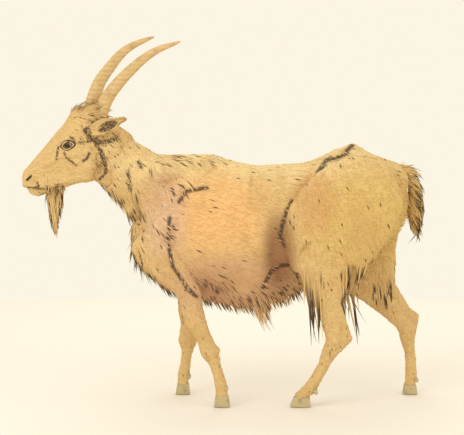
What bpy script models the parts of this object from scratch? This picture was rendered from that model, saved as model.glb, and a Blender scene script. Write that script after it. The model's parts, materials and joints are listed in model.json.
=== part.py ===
"""A life-size jointed goat figure in a walking stance.

Every leg is four fleshed segments on wooden bones with forked hinges. Cross rods carry the legs, the neck,
the head, the lower jaw and the tail. The goat faces -X, its left side is -Y and its soles stand on Z = 0.
Outlines are in millimetres, as (x, z) points of the goat's side view, and are scaled to metres on building.
"""
import math

import bmesh
import bpy
from mathutils import Matrix, Vector

MM = 0.001
CENTRE_X = -2.82        # the side view's x that becomes the middle of the figure

GAP = 0.5               # running clearance round pins and bones
LEG_Y = 104.0           # the plane of each leg's bones, left and right of the middle
FLESH_INNER_Y = 80.0    # inner face of the shoulders and thighs
TRUNK_INNER_Y = 77.0    # the trunk is no wider than this beside them

NECK_ROOT = (-220.0, 636.0)
HEAD_JOINT = (-338.0, 768.0)
JAW_JOINT = (-412.0, 742.0)
TAIL_JOINT = (526.0, 688.0)
SHOULDER = (-215.0, 462.0)
HIP = (418.0, 612.0)
EAR_ROOT = (-392.0, 812.0)
EYE_CENTRE = (-462.0, 770.0)
EYE_Y = 43.0
EYE_RADIUS = 14.0

# Each leg: its joints from the top down, then the hoof's top and sole as (front x, rear x), and the top's z.
LEGS = {
    "left_fore": {"side": -1, "joints": [SHOULDER, (-92, 336), (-38, 165), (-8, 66)],
                  "hoof_top": (-24, 16), "sole": (-29, 20), "hoof_z": 33},
    "right_fore": {"side": 1, "joints": [SHOULDER, (-83, 345), (-110, 168), (-124, 66)],
                   "hoof_top": (-144, -107), "sole": (-150, -104), "hoof_z": 33},
    "left_hind": {"side": -1, "joints": [HIP, (277, 438), (328, 195), (256, 56)],
                  "hoof_top": (208, 256), "sole": (196, 258), "hoof_z": 30},
    "right_hind": {"side": 1, "joints": [HIP, (394, 389), (560, 211), (578, 56)],
                   "hoof_top": (557, 594), "sole": (552, 598), "hoof_z": 30},
}

# Pads on a bone: (distance down the bone, reach in front, reach behind, half width).
UPPER_ARM = [(-54, 18, 22, 14), (-40, 40, 46, 23), (0, 52, 62, 28), (60, 50, 56, 28), (115, 42, 42, 26),
             (138, 37, 34, 24)]
FOREARM = [(26, 32, 18, 23), (55, 50, 17, 24), (95, 44, 15, 22), (130, 31, 15, 20), (148, 28, 18, 20)]
FORE_SHANK = [(25, 19, 23, 18), (45, 15, 16, 16), (70, 14, 13, 15), (82, 15, 13, 16)]
GASKIN = [(30, 44, 48, 24), (75, 48, 54, 24), (115, 42, 48, 23), (160, 32, 33, 20), (216, 26, 26, 18)]
HIND_SHANK = [(25, 23, 27, 18), (50, 19, 22, 16), (80, 12, 21, 15), (110, 13, 21, 15), (136, 15, 19, 16)]

# The left thigh, top down: (z, front x, rear x, outer y). Other thighs are this one turned at the hip.
THIGH = [(738, 368, 446, 108), (722, 322, 476, 122), (690, 272, 500, 132), (640, 222, 524, 138),
         (590, 190, 528, 140), (540, 170, 506, 140), (490, 166, 482, 138), (445, 180, 448, 134),
         (400, 206, 402, 126)]
THIGH_STIFLE = (277.0, 438.0)

# Bodies between two outline points: (top x, top z, bottom x, bottom z, half width).
TRUNK = [(-276, 522, -272, 462, 26), (-256, 610, -256, 418, 54), (-222, 712, -222, 386, 70),
         (-170, 738, -170, 340, 74), (-85, 742, -85, 306, 76), (-10, 736, -10, 292, 78),
         (20, 708, 24, 286, 120), (75, 714, 80, 281, 146), (125, 706, 130, 288, 132),
         (190, 705, 190, 312, 100), (259, 724, 250, 345, 82), (330, 754, 320, 385, 76),
         (383, 777, 380, 430, 75), (443, 744, 440, 472, 73), (500, 724, 490, 530, 60),
         (530, 714, 526, 596, 42), (540, 704, 539, 640, 22)]
NECK = [(-318, 812, -374, 672, 34), (-290, 797, -350, 640, 42), (-257, 778, -322, 613, 48),
        (-222, 758, -297, 590, 52), (-148, 711, -292, 561, 54), (-120, 665, -245, 535, 47),
        (-119, 611, -191, 536, 28), (-130, 584, -165, 549, 13)]
HEAD = [(-604, 676, -596, 656, 12), (-598, 694, -578, 651, 24), (-577, 717, -548, 651, 29),
        (-551, 747, -505, 659, 33), (-524, 779, -465, 673, 40), (-501, 807, -432, 691, 49),
        (-468, 843, -402, 674, 56), (-436, 882, -380, 672, 52), (-400, 892, -376, 700, 46),
        (-377, 880, -374, 735, 40)]
JAW = [(-591, 647, -585, 635, 10), (-576, 646, -570, 624, 20), (-548, 646, -550, 620, 25),
       (-505, 654, -503, 634, 27), (-468, 667, -458, 650, 27), (-440, 683, -422, 660, 17),
       (-430, 712, -396, 700, 16), (-426, 742, -398, 742, 16)]
BEARD = [(-535, 629, -478, 646, 13), (-529, 598, -481, 612, 13), (-522, 552, -492, 572, 10),
         (-512, 516, -497, 534, 7), (-505, 500, -499, 507, 2)]
TAIL = [(540, 700, 534, 676, 9), (566, 692, 550, 662, 10), (590, 655, 553, 632, 22),
        (599, 595, 551, 575, 26), (597, 545, 558, 532, 19), (588, 510, 573, 504, 8)]

# Horn centre lines as (x, distance from the middle, z), and the half depth at the same points.
LEFT_HORN = [(-376, 22, 846), (-361, 25, 872), (-342, 32, 912), (-314, 42, 951), (-285, 53, 981),
             (-225, 76, 1031), (-188, 88, 1052), (-150, 98, 1065), (-123, 103, 1074)]
RIGHT_HORN = [(-399, 22, 872), (-393, 25, 899), (-385, 31, 927), (-372, 40, 960), (-343, 55, 1004),
              (-310, 70, 1043), (-285, 80, 1064), (-254, 90, 1080), (-210, 100, 1097)]
HORN_HALF_DEPTH = [23, 22, 19, 16.5, 14, 11, 8.5, 6, 2]
HORN_WIDTH_RATIO = 0.72

LIMB_HINGE = {"lug": 14.0, "half": 16.0, "tongue": 9.0, "pin": 5.0, "throat": 24.0}
FOOT_HINGE = {"lug": 10.0, "half": 13.0, "tongue": 6.0, "pin": 3.5, "throat": 19.0}
ROD_RADIUS = 9.0
SMALL_ROD_RADIUS = 4.5
EYELET_RADIUS = 22.0
ROD_HALF_LENGTH = 121.0
BONE_RADIUS = 8.0
SHANK_BONE_RADIUS = 5.5
CLEFT = 3.0


def make_collection(name):
    group = bpy.data.collections.new(name)
    bpy.context.scene.collection.children.link(group)
    return group


def make_material(name, colour, roughness, metallic=0.0):
    """Make a plain Principled material from an sRGB hex colour."""
    channels = [int(colour[i:i + 2], 16) / 255 for i in (0, 2, 4)]
    linear = [c / 12.92 if c <= 0.04045 else ((c + 0.055) / 1.055) ** 2.4 for c in channels]
    material = bpy.data.materials.new(name)
    material.use_nodes = True
    shader = material.node_tree.nodes["Principled BSDF"]
    shader.inputs["Base Color"].default_value = (*linear, 1.0)
    shader.inputs["Roughness"].default_value = roughness
    shader.inputs["Metallic"].default_value = metallic
    return material


def place(x, y, z):
    """A point of the side view, y to the right of the goat's middle plane, in metres."""
    return Vector(((x - CENTRE_X) * MM, y * MM, z * MM))


def turn(point, pivot, angle):
    """Turn a side-view point about a pivot; a positive angle swings a hanging leg forwards."""
    x, z = point[0] - pivot[0], point[1] - pivot[1]
    return (pivot[0] + x * math.cos(angle) + z * math.sin(angle),
            pivot[1] - x * math.sin(angle) + z * math.cos(angle))


def bearing(start, end):
    """Direction from one side-view point to another, in degrees from +x towards +z."""
    return math.degrees(math.atan2(end[1] - start[1], end[0] - start[0]))


def along(start, end):
    """Unit direction from start to end, the unit direction towards the goat's front, and the length."""
    down = Vector((end[0] - start[0], end[1] - start[1]))
    length = down.length
    down.normalize()
    return down, Vector((down.y, -down.x)), length


def add_mesh(name, bm, group, material=None):
    """Close up a bmesh and make it an object of the group, with flat ends kept sharp."""
    bmesh.ops.recalc_face_normals(bm, faces=bm.faces)
    mesh = bpy.data.meshes.new(name)
    bm.to_mesh(mesh)
    bm.free()
    mesh.shade_smooth()
    mesh.set_sharp_from_angle(angle=math.radians(40))
    part = bpy.data.objects.new(name, mesh)
    group.objects.link(part)
    if material:
        mesh.materials.append(material)
    return part


def hang(thing, pivot):
    """Parent an object to a joint's empty and leave it where it is."""
    thing.parent = pivot
    thing.matrix_parent_inverse = Matrix.Translation(-pivot.location)
    return thing


def make_pivot(name, joint, y, group, above=None):
    """Empty on a joint's axis, hung from the joint above it."""
    pivot = bpy.data.objects.new(name, None)
    pivot.empty_display_size = 0.03
    pivot.location = place(joint[0], y, joint[1])
    group.objects.link(pivot)
    return hang(pivot, above) if above else pivot


def oval(middle, long_half, side_half, sides, squareness=2.3):
    """Points of a rounded oval round middle, from its two half-axis vectors."""
    points = []
    for i in range(sides):
        angle = 2 * math.pi * (i + 0.5) / sides
        c, s = math.cos(angle), math.sin(angle)
        c = math.copysign(abs(c) ** (2 / squareness), c)
        s = math.copysign(abs(s) ** (2 / squareness), s)
        points.append(middle + long_half * c + side_half * s)
    return points


def loft(name, rings, group, material=None):
    """Skin a list of rings with the same number of points and close both ends."""
    bm = bmesh.new()
    loops = [[bm.verts.new(p) for p in ring] for ring in rings]
    for lower, upper in zip(loops, loops[1:]):
        for i in range(len(lower)):
            j = (i + 1) % len(lower)
            bm.faces.new((lower[i], lower[j], upper[j], upper[i]))
    bm.faces.new(loops[0])
    bm.faces.new(loops[-1])
    return add_mesh(name, bm, group, material)


def body_between(name, stations, sides, group, material=None, grow=0.0):
    """Loft through stations that each span a top and a bottom point of the side view."""
    rings = []
    for top_x, top_z, bottom_x, bottom_z, half_width in stations:
        top = place(top_x, 0, top_z)
        bottom = place(bottom_x, 0, bottom_z)
        half = (top - bottom) / 2
        half += half.normalized() * grow * MM
        rings.append(oval((top + bottom) / 2, half, Vector((0, (half_width + grow) * MM, 0)), sides))
    return loft(name, rings, group, material)


def prism(name, outline, y_from, y_to, group):
    """Extrude a side-view outline across the goat."""
    bm = bmesh.new()
    face = bm.faces.new([bm.verts.new(place(x, y_from, z)) for x, z in outline])
    side = bmesh.ops.extrude_face_region(bm, geom=[face])["geom"]
    moved = [item for item in side if isinstance(item, bmesh.types.BMVert)]
    bmesh.ops.translate(bm, verts=moved, vec=(0, (y_to - y_from) * MM, 0))
    return add_mesh(name, bm, group)


def fan(centre, radius, angle_from, angle_to, steps):
    """Side-view points of an arc, in degrees."""
    angles = [math.radians(angle_from + (angle_to - angle_from) * i / steps) for i in range(steps + 1)]
    return [(centre[0] + radius * math.cos(a), centre[1] + radius * math.sin(a)) for a in angles]


def keyhole(centre, radius, angle_from, angle_to, reach):
    """Outline swept by a bar of half thickness radius that swings about centre between two bearings."""
    outline = []
    for a in (math.radians(angle_from), math.radians(angle_to)):
        turned = a - math.pi / 2 if not outline else a + math.pi / 2
        outline.append((centre[0] + radius * math.cos(turned) + reach * math.cos(a),
                        centre[1] + radius * math.sin(turned) + reach * math.sin(a)))
    if angle_to > angle_from:
        outline[1:1] = fan(centre, reach + radius, angle_from, angle_to, 3)
    return outline + fan(centre, radius, angle_to + 90, angle_from + 270, 12)


def rod(name, centre, radius, y_from, y_to, group, material=None, sides=16):
    """Cylinder across the goat at a side-view point."""
    bm = bmesh.new()
    bmesh.ops.create_cone(bm, cap_ends=True, segments=sides, radius1=radius * MM, radius2=radius * MM,
                          depth=abs(y_to - y_from) * MM)
    part = add_mesh(name, bm, group, material)
    part.rotation_euler = (math.pi / 2, 0, 0)
    part.location = place(centre[0], (y_from + y_to) / 2, centre[1])
    return part


def shaft(name, start, end, y, radius, group, material=None, sides=12):
    """Cylinder in the plane y between two side-view points."""
    bm = bmesh.new()
    first, last = place(start[0], y, start[1]), place(end[0], y, end[1])
    bmesh.ops.create_cone(bm, cap_ends=True, segments=sides, radius1=radius * MM, radius2=radius * MM,
                          depth=(last - first).length)
    part = add_mesh(name, bm, group, material)
    part.rotation_mode = "QUATERNION"
    part.rotation_quaternion = (last - first).to_track_quat("Z", "Y")
    part.location = (first + last) / 2
    return part


def combine(part, tool, operation):
    """Add a Boolean with a hidden tool object."""
    tool.hide_render = True
    tool.display_type = "WIRE"
    modifier = part.modifiers.new(tool.name, "BOOLEAN")
    modifier.operation = operation
    modifier.object = tool


def cut(part, tool):
    combine(part, tool, "DIFFERENCE")


def fuse(part, tool):
    combine(part, tool, "UNION")


def point_on(start, end, distance):
    down, _, _ = along(start, end)
    return (start[0] + down.x * distance, start[1] + down.y * distance)


def add_tongue(bone, joint, y, hinge, cutters):
    """Round the bone's lower end into a knuckle with a pin hole."""
    half = hinge["tongue"]
    fuse(bone, rod(bone.name + ".tongue", joint, hinge["lug"], y - half, y + half, cutters))
    reach = half + 5
    hole = rod(bone.name + ".pin_hole", joint, hinge["pin"] + GAP, y - reach, y + reach, cutters, sides=12)
    cut(bone, hole)


def add_fork(part, joint, below, y, hinge, cutters):
    """Give the part's upper end two lugs with a pin between them."""
    half = hinge["half"]
    slot = hinge["tongue"] + GAP
    root = point_on(joint, below, hinge["throat"])
    cheeks = prism(part.name + ".cheeks", keyhole(joint, hinge["lug"], *[bearing(joint, root)] * 2,
                                                  math.dist(joint, root)), y - half, y + half, cutters)
    fuse(part, cheeks)
    cut(part, rod(part.name + ".slot", joint, hinge["lug"] + 1.3, y - slot, y + slot, cutters, sides=20))
    fuse(part, rod(part.name + ".pin", joint, hinge["pin"], y - half + 1, y + half - 1, cutters, sides=12))


def upper_bone(name, top, bottom, y, group, cutters, wood):
    """Humerus or femur: an eyelet on the cross rod, a shaft and a knuckle."""
    bone = shaft(name, top, bottom, y, BONE_RADIUS, group, wood)
    fuse(bone, rod(name + ".eyelet", top, EYELET_RADIUS, y - 14, y + 14, cutters, sides=20))
    cut(bone, rod(name + ".rod_hole", top, ROD_RADIUS + GAP, y - 20, y + 20, cutters))
    add_tongue(bone, bottom, y, LIMB_HINGE, cutters)
    return bone


def forked_bone(name, top, bottom, y, radius, lower_hinge, group, cutters, wood):
    """Bone with a fork above, a shaft and a knuckle below."""
    start = point_on(top, bottom, LIMB_HINGE["lug"] + 6)
    bone = shaft(name, start, bottom, y, radius, group, wood)
    add_fork(bone, top, bottom, y, LIMB_HINGE, cutters)
    add_tongue(bone, bottom, y, lower_hinge, cutters)
    return bone


def flesh_on_bone(name, top, bottom, y, stations, group, material):
    """Loft a segment's flesh round its bone."""
    down, front, _ = along(top, bottom)
    rings = []
    for distance, ahead, behind, half_width in stations:
        middle = Vector(top) + down * distance + front * (ahead - behind) / 2
        depth = front * (ahead + behind) / 2 * MM
        half = Vector((depth.x, 0, depth.y))
        rings.append(oval(place(middle.x, y, middle.y), half, Vector((0, half_width * MM, 0)), 12))
    return loft(name, rings, group, material)


def bone_channel(flesh, top, bottom, y, radius, cutters):
    cut(flesh, shaft(flesh.name + ".channel", top, bottom, y, radius + GAP, cutters))


def thigh_flesh(name, hip, stifle, side, group, material):
    """The thigh, turned at the hip from the left leg's stance to this one's."""
    swing = math.radians(bearing(hip, THIGH_STIFLE) - bearing(hip, stifle))
    rings = []
    for z, front_x, rear_x, outer_y in THIGH:
        front, rear = turn((front_x, z), hip, swing), turn((rear_x, z), hip, swing)
        ends = [place(x, side * (FLESH_INNER_Y + outer_y) / 2, z) for x, z in (front, rear)]
        width = Vector((0, (outer_y - FLESH_INNER_Y) / 2 * MM, 0))
        rings.append(oval((ends[0] + ends[1]) / 2, (ends[0] - ends[1]) / 2, width, 16))
    return loft(name, rings, group, material)


def rod_pocket(flesh, joint, side, cutters):
    """Hollow the segment's inner face for the rod's end and the bone's eyelet."""
    name = flesh.name + ".pocket"
    reach = ROD_HALF_LENGTH + 2
    cut(flesh, rod(name, joint, EYELET_RADIUS + 1, side * 60, side * reach, cutters, sides=20))


def hoof_rings(leg, outward):
    """Rings of one claw, from the coronet to the flat sole; outward is +1 for the outer claw."""
    top_z = leg["hoof_z"] - 0.3
    rings = []
    for z, (front, rear), far_edge in ((top_z, leg["hoof_top"], 18), (0.0, leg["sole"], 20)):
        offset = outward * (far_edge + CLEFT / 2) / 2
        middle = place((front + rear) / 2, leg["side"] * (LEG_Y + offset), z)
        half = Vector(((rear - front) / 2 * MM, 0, 0))
        rings.append(oval(middle, half, Vector((0, (far_edge - CLEFT / 2) / 2 * MM, 0)), 12, 3.0))
    return rings


def foot(prefix, leg, pivot, group, cutters, looks):
    """Pastern with its fork, and the hoof's two claws."""
    fetlock, side = leg["joints"][3], leg["side"]
    y = side * LEG_Y
    top_z = fetlock[1] - FOOT_HINGE["lug"] - 2.5
    front, rear = leg["hoof_top"]
    rings = []
    for z, x_from, x_to, half_width in ((top_z, fetlock[0] - 16, fetlock[0] + 14, 15),
                                        (leg["hoof_z"], front + 1, rear - 1, 17)):
        half = Vector(((x_to - x_from) / 2 * MM, 0, 0))
        rings.append(oval(place((x_from + x_to) / 2, y, z), half, Vector((0, half_width * MM, 0)), 12))
    pastern = hang(loft(prefix + "_pastern", rings, group, looks["hide"]), pivot)
    add_fork(pastern, fetlock, (fetlock[0], 0), y, FOOT_HINGE, cutters)
    for claw, outward in (("inner", -1), ("outer", 1)):
        hang(loft(f"{prefix}_{claw}_claw", hoof_rings(leg, outward), group, looks["horn"]), pivot)


def limb(prefix, leg, group, cutters, looks):
    """One leg: three fleshed segments, three bones, a pastern and a hoof."""
    top, middle, lower, fetlock = leg["joints"]
    side = leg["side"]
    y = side * LEG_Y
    fore = prefix.endswith("fore")
    names = ("upper_arm", "forearm", "cannon") if fore else ("thigh", "gaskin", "cannon")
    bones = ("humerus", "radius", "metacarpus") if fore else ("femur", "tibia", "metatarsus")
    hinges = ("shoulder", "elbow", "knee", "fetlock") if fore else ("hip", "stifle", "hock", "fetlock")
    hide, wood = looks["hide"], looks["wood"]
    pivots = [None]
    for hinge, joint in zip(hinges, leg["joints"]):
        pivots.append(make_pivot(f"{prefix}_{hinge}", joint, y, group, pivots[-1]))

    if fore:
        upper = flesh_on_bone(f"{prefix}_{names[0]}", top, middle, y, UPPER_ARM, group, hide)
    else:
        upper = thigh_flesh(f"{prefix}_{names[0]}", top, middle, side, group, hide)
        swing = bearing(middle, lower)
        gaskin_sweep = keyhole(middle, 58, swing - 16, swing + 36, 260)
        cut(upper, prism(upper.name + ".stifle", gaskin_sweep, side * 60, side * 160, cutters))
    bone_channel(upper, top, middle, y, BONE_RADIUS, cutters)
    rod_pocket(upper, top, side, cutters)
    bone = upper_bone(f"{prefix}_{bones[0]}", top, middle, y, group, cutters, wood)
    hang(upper, pivots[1])
    hang(bone, pivots[1])

    stations = FOREARM if fore else GASKIN
    lower_flesh = flesh_on_bone(f"{prefix}_{names[1]}", middle, lower, y, stations, group, hide)
    bone_channel(lower_flesh, middle, lower, y, BONE_RADIUS, cutters)
    name = f"{prefix}_{bones[1]}"
    bone = forked_bone(name, middle, lower, y, BONE_RADIUS, LIMB_HINGE, group, cutters, wood)
    hang(lower_flesh, pivots[2])
    hang(bone, pivots[2])

    stations = FORE_SHANK if fore else HIND_SHANK
    shank = flesh_on_bone(f"{prefix}_{names[2]}", lower, fetlock, y, stations, group, hide)
    bone_channel(shank, lower, fetlock, y, SHANK_BONE_RADIUS, cutters)
    name = f"{prefix}_{bones[2]}"
    bone = forked_bone(name, lower, fetlock, y, SHANK_BONE_RADIUS, FOOT_HINGE, group, cutters, wood)
    hang(shank, pivots[3])
    hang(bone, pivots[3])
    foot(prefix, leg, pivots[4], group, cutters, looks)


def trunk(group, cutters, looks):
    """Barrel, chest and rump, recessed beside the legs and round the neck's root."""
    part = body_between("trunk", TRUNK, 20, group, looks["hide"])
    for side, word in ((-1, "left"), (1, "right")):
        span = (side * TRUNK_INNER_Y, side * 220)
        cut(part, rod(f"{word}_shoulder.recess", SHOULDER, 222, *span, cutters, sides=48))
        cut(part, rod(f"{word}_hip.recess", HIP, 345, *span, cutters, sides=48))
    neck_bearing = bearing(NECK_ROOT, HEAD_JOINT)
    neck_sweep = keyhole(NECK_ROOT, 107.5, neck_bearing - 22, neck_bearing + 36, 240)
    cut(part, prism("neck.recess", neck_sweep, -57, 57, cutters))
    cut(part, prism("tail.recess", keyhole(TAIL_JOINT, 14, -32, 50, 80), -11, 11, cutters))
    for name, joint, radius in (("shoulder", SHOULDER, ROD_RADIUS), ("hip", HIP, ROD_RADIUS),
                                ("neck", NECK_ROOT, ROD_RADIUS), ("tail", TAIL_JOINT, SMALL_ROD_RADIUS)):
        cut(part, rod(name + ".hole", joint, radius + GAP, -150, 150, cutters))
    steel = looks["steel"]
    rod("shoulder_rod", SHOULDER, ROD_RADIUS, -ROD_HALF_LENGTH, ROD_HALF_LENGTH, group, steel)
    rod("hip_rod", HIP, ROD_RADIUS, -ROD_HALF_LENGTH, ROD_HALF_LENGTH, group, steel)
    rod("neck_rod", NECK_ROOT, ROD_RADIUS, -63, 63, group, steel)
    rod("tail_rod", TAIL_JOINT, SMALL_ROD_RADIUS, -26, 26, group, steel)


def neck(group, cutters, looks):
    """Neck with a round root in the trunk and a tongue between the head's cheeks."""
    pivot = make_pivot("neck_pitch", NECK_ROOT, 0, group)
    part = hang(body_between("neck", NECK, 16, group, looks["hide"]), pivot)
    swept = [HEAD_JOINT] + fan(HEAD_JOINT, 128, 62, 274, 16)
    cut(part, prism("neck.head_sweep", swept, -90, 90, cutters))
    cut(part, rod("neck.head_ball", HEAD_JOINT, 44, -90, 90, cutters, sides=32))
    down = bearing(HEAD_JOINT, NECK_ROOT)
    fuse(part, prism("neck.tongue", keyhole(HEAD_JOINT, 32, down, down, 78), -24, 24, cutters))
    cut(part, rod("neck.head_hole", HEAD_JOINT, ROD_RADIUS + GAP, -60, 60, cutters))
    cut(part, rod("neck.root_hole", NECK_ROOT, ROD_RADIUS + GAP, -90, 90, cutters))
    return pivot


def horn(name, path, side, head_part, group, cutters, material):
    """Tapered horn with its root in a socket of the skull."""
    points = [place(x, side * y, z) for x, y, z in path]
    for grow, label in ((0.0, name), (GAP, name + ".socket")):
        rings = []
        for i, point in enumerate(points):
            tangent = (points[min(i + 1, len(points) - 1)] - points[max(i - 1, 0)]).normalized()
            across = tangent.cross(Vector((0, 1, 0))).normalized()
            outward = across.cross(tangent)
            depth = (HORN_HALF_DEPTH[i] + grow) * MM
            width = (HORN_HALF_DEPTH[i] * HORN_WIDTH_RATIO + grow) * MM
            rings.append(oval(point, across * depth, outward * width, 12, 2.0))
        if grow:
            rings[0] = [p - (points[1] - points[0]).normalized() * 1.5 * MM for p in rings[0]]
            cut(head_part, loft(label, rings, cutters))
        else:
            part = loft(label, rings, group, material)
    return part


def ear(name, side, head_part, head_pivot, group, cutters, material):
    """Leaf-shaped ear, hollow on its outer face, on a peg in the skull."""
    tip = (-294, 850)
    forward, upward, length = along(EAR_ROOT, tip)
    bm = bmesh.new()
    rows = []
    for i in range(7):
        s = i / 6
        half_width = 5 + 17 * math.sin(math.pi * min(s + 0.08, 1) ** 0.8)
        row = []
        for j in range(7):
            c = j / 3 - 1
            reach = s * length * (1 - 0.06 * c * c)
            x = EAR_ROOT[0] + forward.x * reach + upward.x * half_width * c
            z = EAR_ROOT[1] + forward.y * reach + upward.y * half_width * c
            row.append(bm.verts.new(place(x, side * (56 + 20 * s + 8 * c * c), z)))
        rows.append(row)
    for low, high in zip(rows, rows[1:]):
        for j in range(6):
            bm.faces.new((low[j], low[j + 1], high[j + 1], high[j]))
    pivot = make_pivot(name + "_swing", EAR_ROOT, side * 56, group, head_pivot)
    part = hang(add_mesh(name, bm, group, material), pivot)
    shell = part.modifiers.new("thickness", "SOLIDIFY")
    shell.thickness = 3 * MM
    shell.offset = 0
    fuse(part, rod(name + ".peg", EAR_ROOT, 6, side * 36, side * 58, cutters, sides=12))
    cut(head_part, rod(name + ".hole", EAR_ROOT, 6 + GAP, side * 34, side * 90, cutters, sides=12))


def head(neck_pivot, group, cutters, looks):
    """Skull with horns, ears, eyes, lower jaw and beard."""
    pivot = make_pivot("head_nod", HEAD_JOINT, 0, group, neck_pivot)
    part = hang(body_between("head", HEAD, 16, group, looks["hide"]), pivot)
    up = bearing(HEAD_JOINT, (-400, 800))
    fuse(part, prism("head.cheeks", keyhole(HEAD_JOINT, 33, up, up, 60), -40, 40, cutters))
    down = bearing(HEAD_JOINT, NECK_ROOT)
    sweep = keyhole(HEAD_JOINT, 35, down - 22, down + 22, 90)
    cut(part, prism("head.neck_slot", sweep, -24.6, 24.6, cutters))
    cut(part, prism("head.jaw_slot", keyhole(JAW_JOINT, 17, -122, -76, 110), -18.5, 18.5, cutters))
    cut(part, rod("head.joint_hole", HEAD_JOINT, ROD_RADIUS + GAP, -90, 90, cutters))
    cut(part, rod("head.jaw_hole", JAW_JOINT, SMALL_ROD_RADIUS + GAP, -90, 90, cutters))
    hang(rod("head_rod", HEAD_JOINT, ROD_RADIUS, -38, 38, group, looks["steel"]), pivot)
    hang(rod("jaw_rod", JAW_JOINT, SMALL_ROD_RADIUS, -36, 36, group, looks["steel"]), pivot)

    for side, word, path in ((-1, "left", LEFT_HORN), (1, "right", RIGHT_HORN)):
        hang(horn(word + "_horn", path, side, part, group, cutters, looks["horn"]), pivot)
        ear(word + "_ear", side, part, pivot, group, cutters, looks["hide"])
        for name, radius, where, material in ((word + "_eye", EYE_RADIUS, group, looks["glass"]),
                                              (word + "_eye.orbit", EYE_RADIUS + GAP, cutters, None)):
            bm = bmesh.new()
            bmesh.ops.create_uvsphere(bm, u_segments=16, v_segments=10, radius=radius * MM)
            ball = add_mesh(name, bm, where, material)
            ball.location = place(EYE_CENTRE[0], side * EYE_Y, EYE_CENTRE[1])
            if material:
                hang(ball, pivot)
        cut(part, ball)
    return pivot


def lower_jaw(head_pivot, group, cutters, looks):
    """Lower jaw on its rod, with the beard's root in a socket under the chin."""
    pivot = make_pivot("jaw_open", JAW_JOINT, 0, group, head_pivot)
    jaw = hang(body_between("lower_jaw", JAW, 12, group, looks["hide"]), pivot)
    fuse(jaw, rod("jaw.knuckle", JAW_JOINT, 15, -16, 16, cutters))
    cut(jaw, rod("jaw.hole", JAW_JOINT, SMALL_ROD_RADIUS + GAP, -30, 30, cutters))
    top_x, top_z, bottom_x, bottom_z, half_width = BEARD[0]
    socket = [(top_x, top_z + GAP, bottom_x, bottom_z + GAP, half_width)] + BEARD[1:]
    cut(jaw, body_between("jaw.beard_socket", socket, 10, cutters, grow=GAP))
    hang(body_between("beard", BEARD, 10, group, looks["hair"]), pivot)


def tail(group, cutters, looks):
    """Flat hair tail on a hinged root."""
    pivot = make_pivot("tail_swing", TAIL_JOINT, 0, group)
    part = hang(body_between("tail", TAIL, 12, group, looks["hair"]), pivot)
    fuse(part, rod("tail.knuckle", TAIL_JOINT, 12, -9.5, 9.5, cutters))
    fuse(part, shaft("tail.root", TAIL_JOINT, (560, 677), 0, 8, cutters))
    cut(part, rod("tail.hole", TAIL_JOINT, SMALL_ROD_RADIUS + GAP, -20, 20, cutters))


def main():
    for old in list(bpy.data.objects):
        bpy.data.objects.remove(old, do_unlink=True)
    group = make_collection("goat_figure")
    cutters = make_collection("cutters")
    looks = {
        "hide": make_material("hide", "d9ab63", 0.85),
        "hair": make_material("hair", "7d6443", 0.9),
        "horn": make_material("horn", "b9a075", 0.5),
        "wood": make_material("wood", "c9a675", 0.6),
        "steel": make_material("steel", "9a9a9a", 0.35, 1.0),
        "glass": make_material("glass", "3a2a1c", 0.1),
    }
    trunk(group, cutters, looks)
    neck_pivot = neck(group, cutters, looks)
    head_pivot = head(neck_pivot, group, cutters, looks)
    lower_jaw(head_pivot, group, cutters, looks)
    tail(group, cutters, looks)
    for prefix, leg in LEGS.items():
        limb(prefix, leg, group, cutters, looks)


main()
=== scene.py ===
import json
import math

import bmesh
import bpy
import numpy
from mathutils import Matrix, Vector, noise


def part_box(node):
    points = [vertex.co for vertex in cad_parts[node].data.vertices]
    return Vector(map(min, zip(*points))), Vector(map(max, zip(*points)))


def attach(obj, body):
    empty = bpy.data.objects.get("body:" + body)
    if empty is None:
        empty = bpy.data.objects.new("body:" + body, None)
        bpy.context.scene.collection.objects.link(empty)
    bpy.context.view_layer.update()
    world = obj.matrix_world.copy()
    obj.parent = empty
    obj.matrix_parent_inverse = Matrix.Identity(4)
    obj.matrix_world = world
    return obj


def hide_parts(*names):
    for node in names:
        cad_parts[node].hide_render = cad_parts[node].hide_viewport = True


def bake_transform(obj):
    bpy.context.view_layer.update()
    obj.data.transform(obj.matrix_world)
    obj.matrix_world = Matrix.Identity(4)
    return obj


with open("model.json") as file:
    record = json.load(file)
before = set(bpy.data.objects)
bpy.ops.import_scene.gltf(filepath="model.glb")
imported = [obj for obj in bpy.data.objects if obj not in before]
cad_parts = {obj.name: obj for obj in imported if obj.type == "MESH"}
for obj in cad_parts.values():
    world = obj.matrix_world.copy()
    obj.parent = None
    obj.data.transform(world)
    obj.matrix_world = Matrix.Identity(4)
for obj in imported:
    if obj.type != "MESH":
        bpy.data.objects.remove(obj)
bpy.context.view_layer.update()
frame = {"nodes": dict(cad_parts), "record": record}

joints = {joint["name"]: Vector(joint["pos_m"]) for joint in frame["record"]["behaviour"]["joints"]}


# ---- The trunk: barrel, chest, shoulders and rump ----
# Muscle and ribs under a short ochre coat. Its form is the frame's trunk, filled out with shoulder blades,
# ribs, a hollow flank and the hip bones, then covered with combed locks of hair.
VOXEL = 0.006
FINE_VOXEL = 0.0035
HAIR_OCHRE = "ddbd82"
HAIR_DARK = "4a3a2e"
BARREL_ORANGE = "eebd80"
SHOULDER_MAUVE = "dcb89c"
BELLY_PAINTED_SHADE = "cfa480"
FLANK_PAINTED_SHADE = "7e4a33"
RUMP_YELLOW = "dcbc72"
BACK_PAINTED_LIGHT = "f2daa2"
HIP_RUST = "d29a66"
THIGH_SHADE = "bd8f62"
WASH_BROWN = "c89c60"
STREAK_BROWN = "a47848"
ROOT_BROWN = "a5763f"
TIP_STRAW = "f4d596"


def srgb(text):
    """An sRGB hex colour as linear RGBA."""
    channels = [int(text[i:i + 2], 16) / 255 for i in (0, 2, 4)]
    return [c / 12.92 if c <= 0.04045 else ((c + 0.055) / 1.055) ** 2.4 for c in channels] + [1.0]


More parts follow.
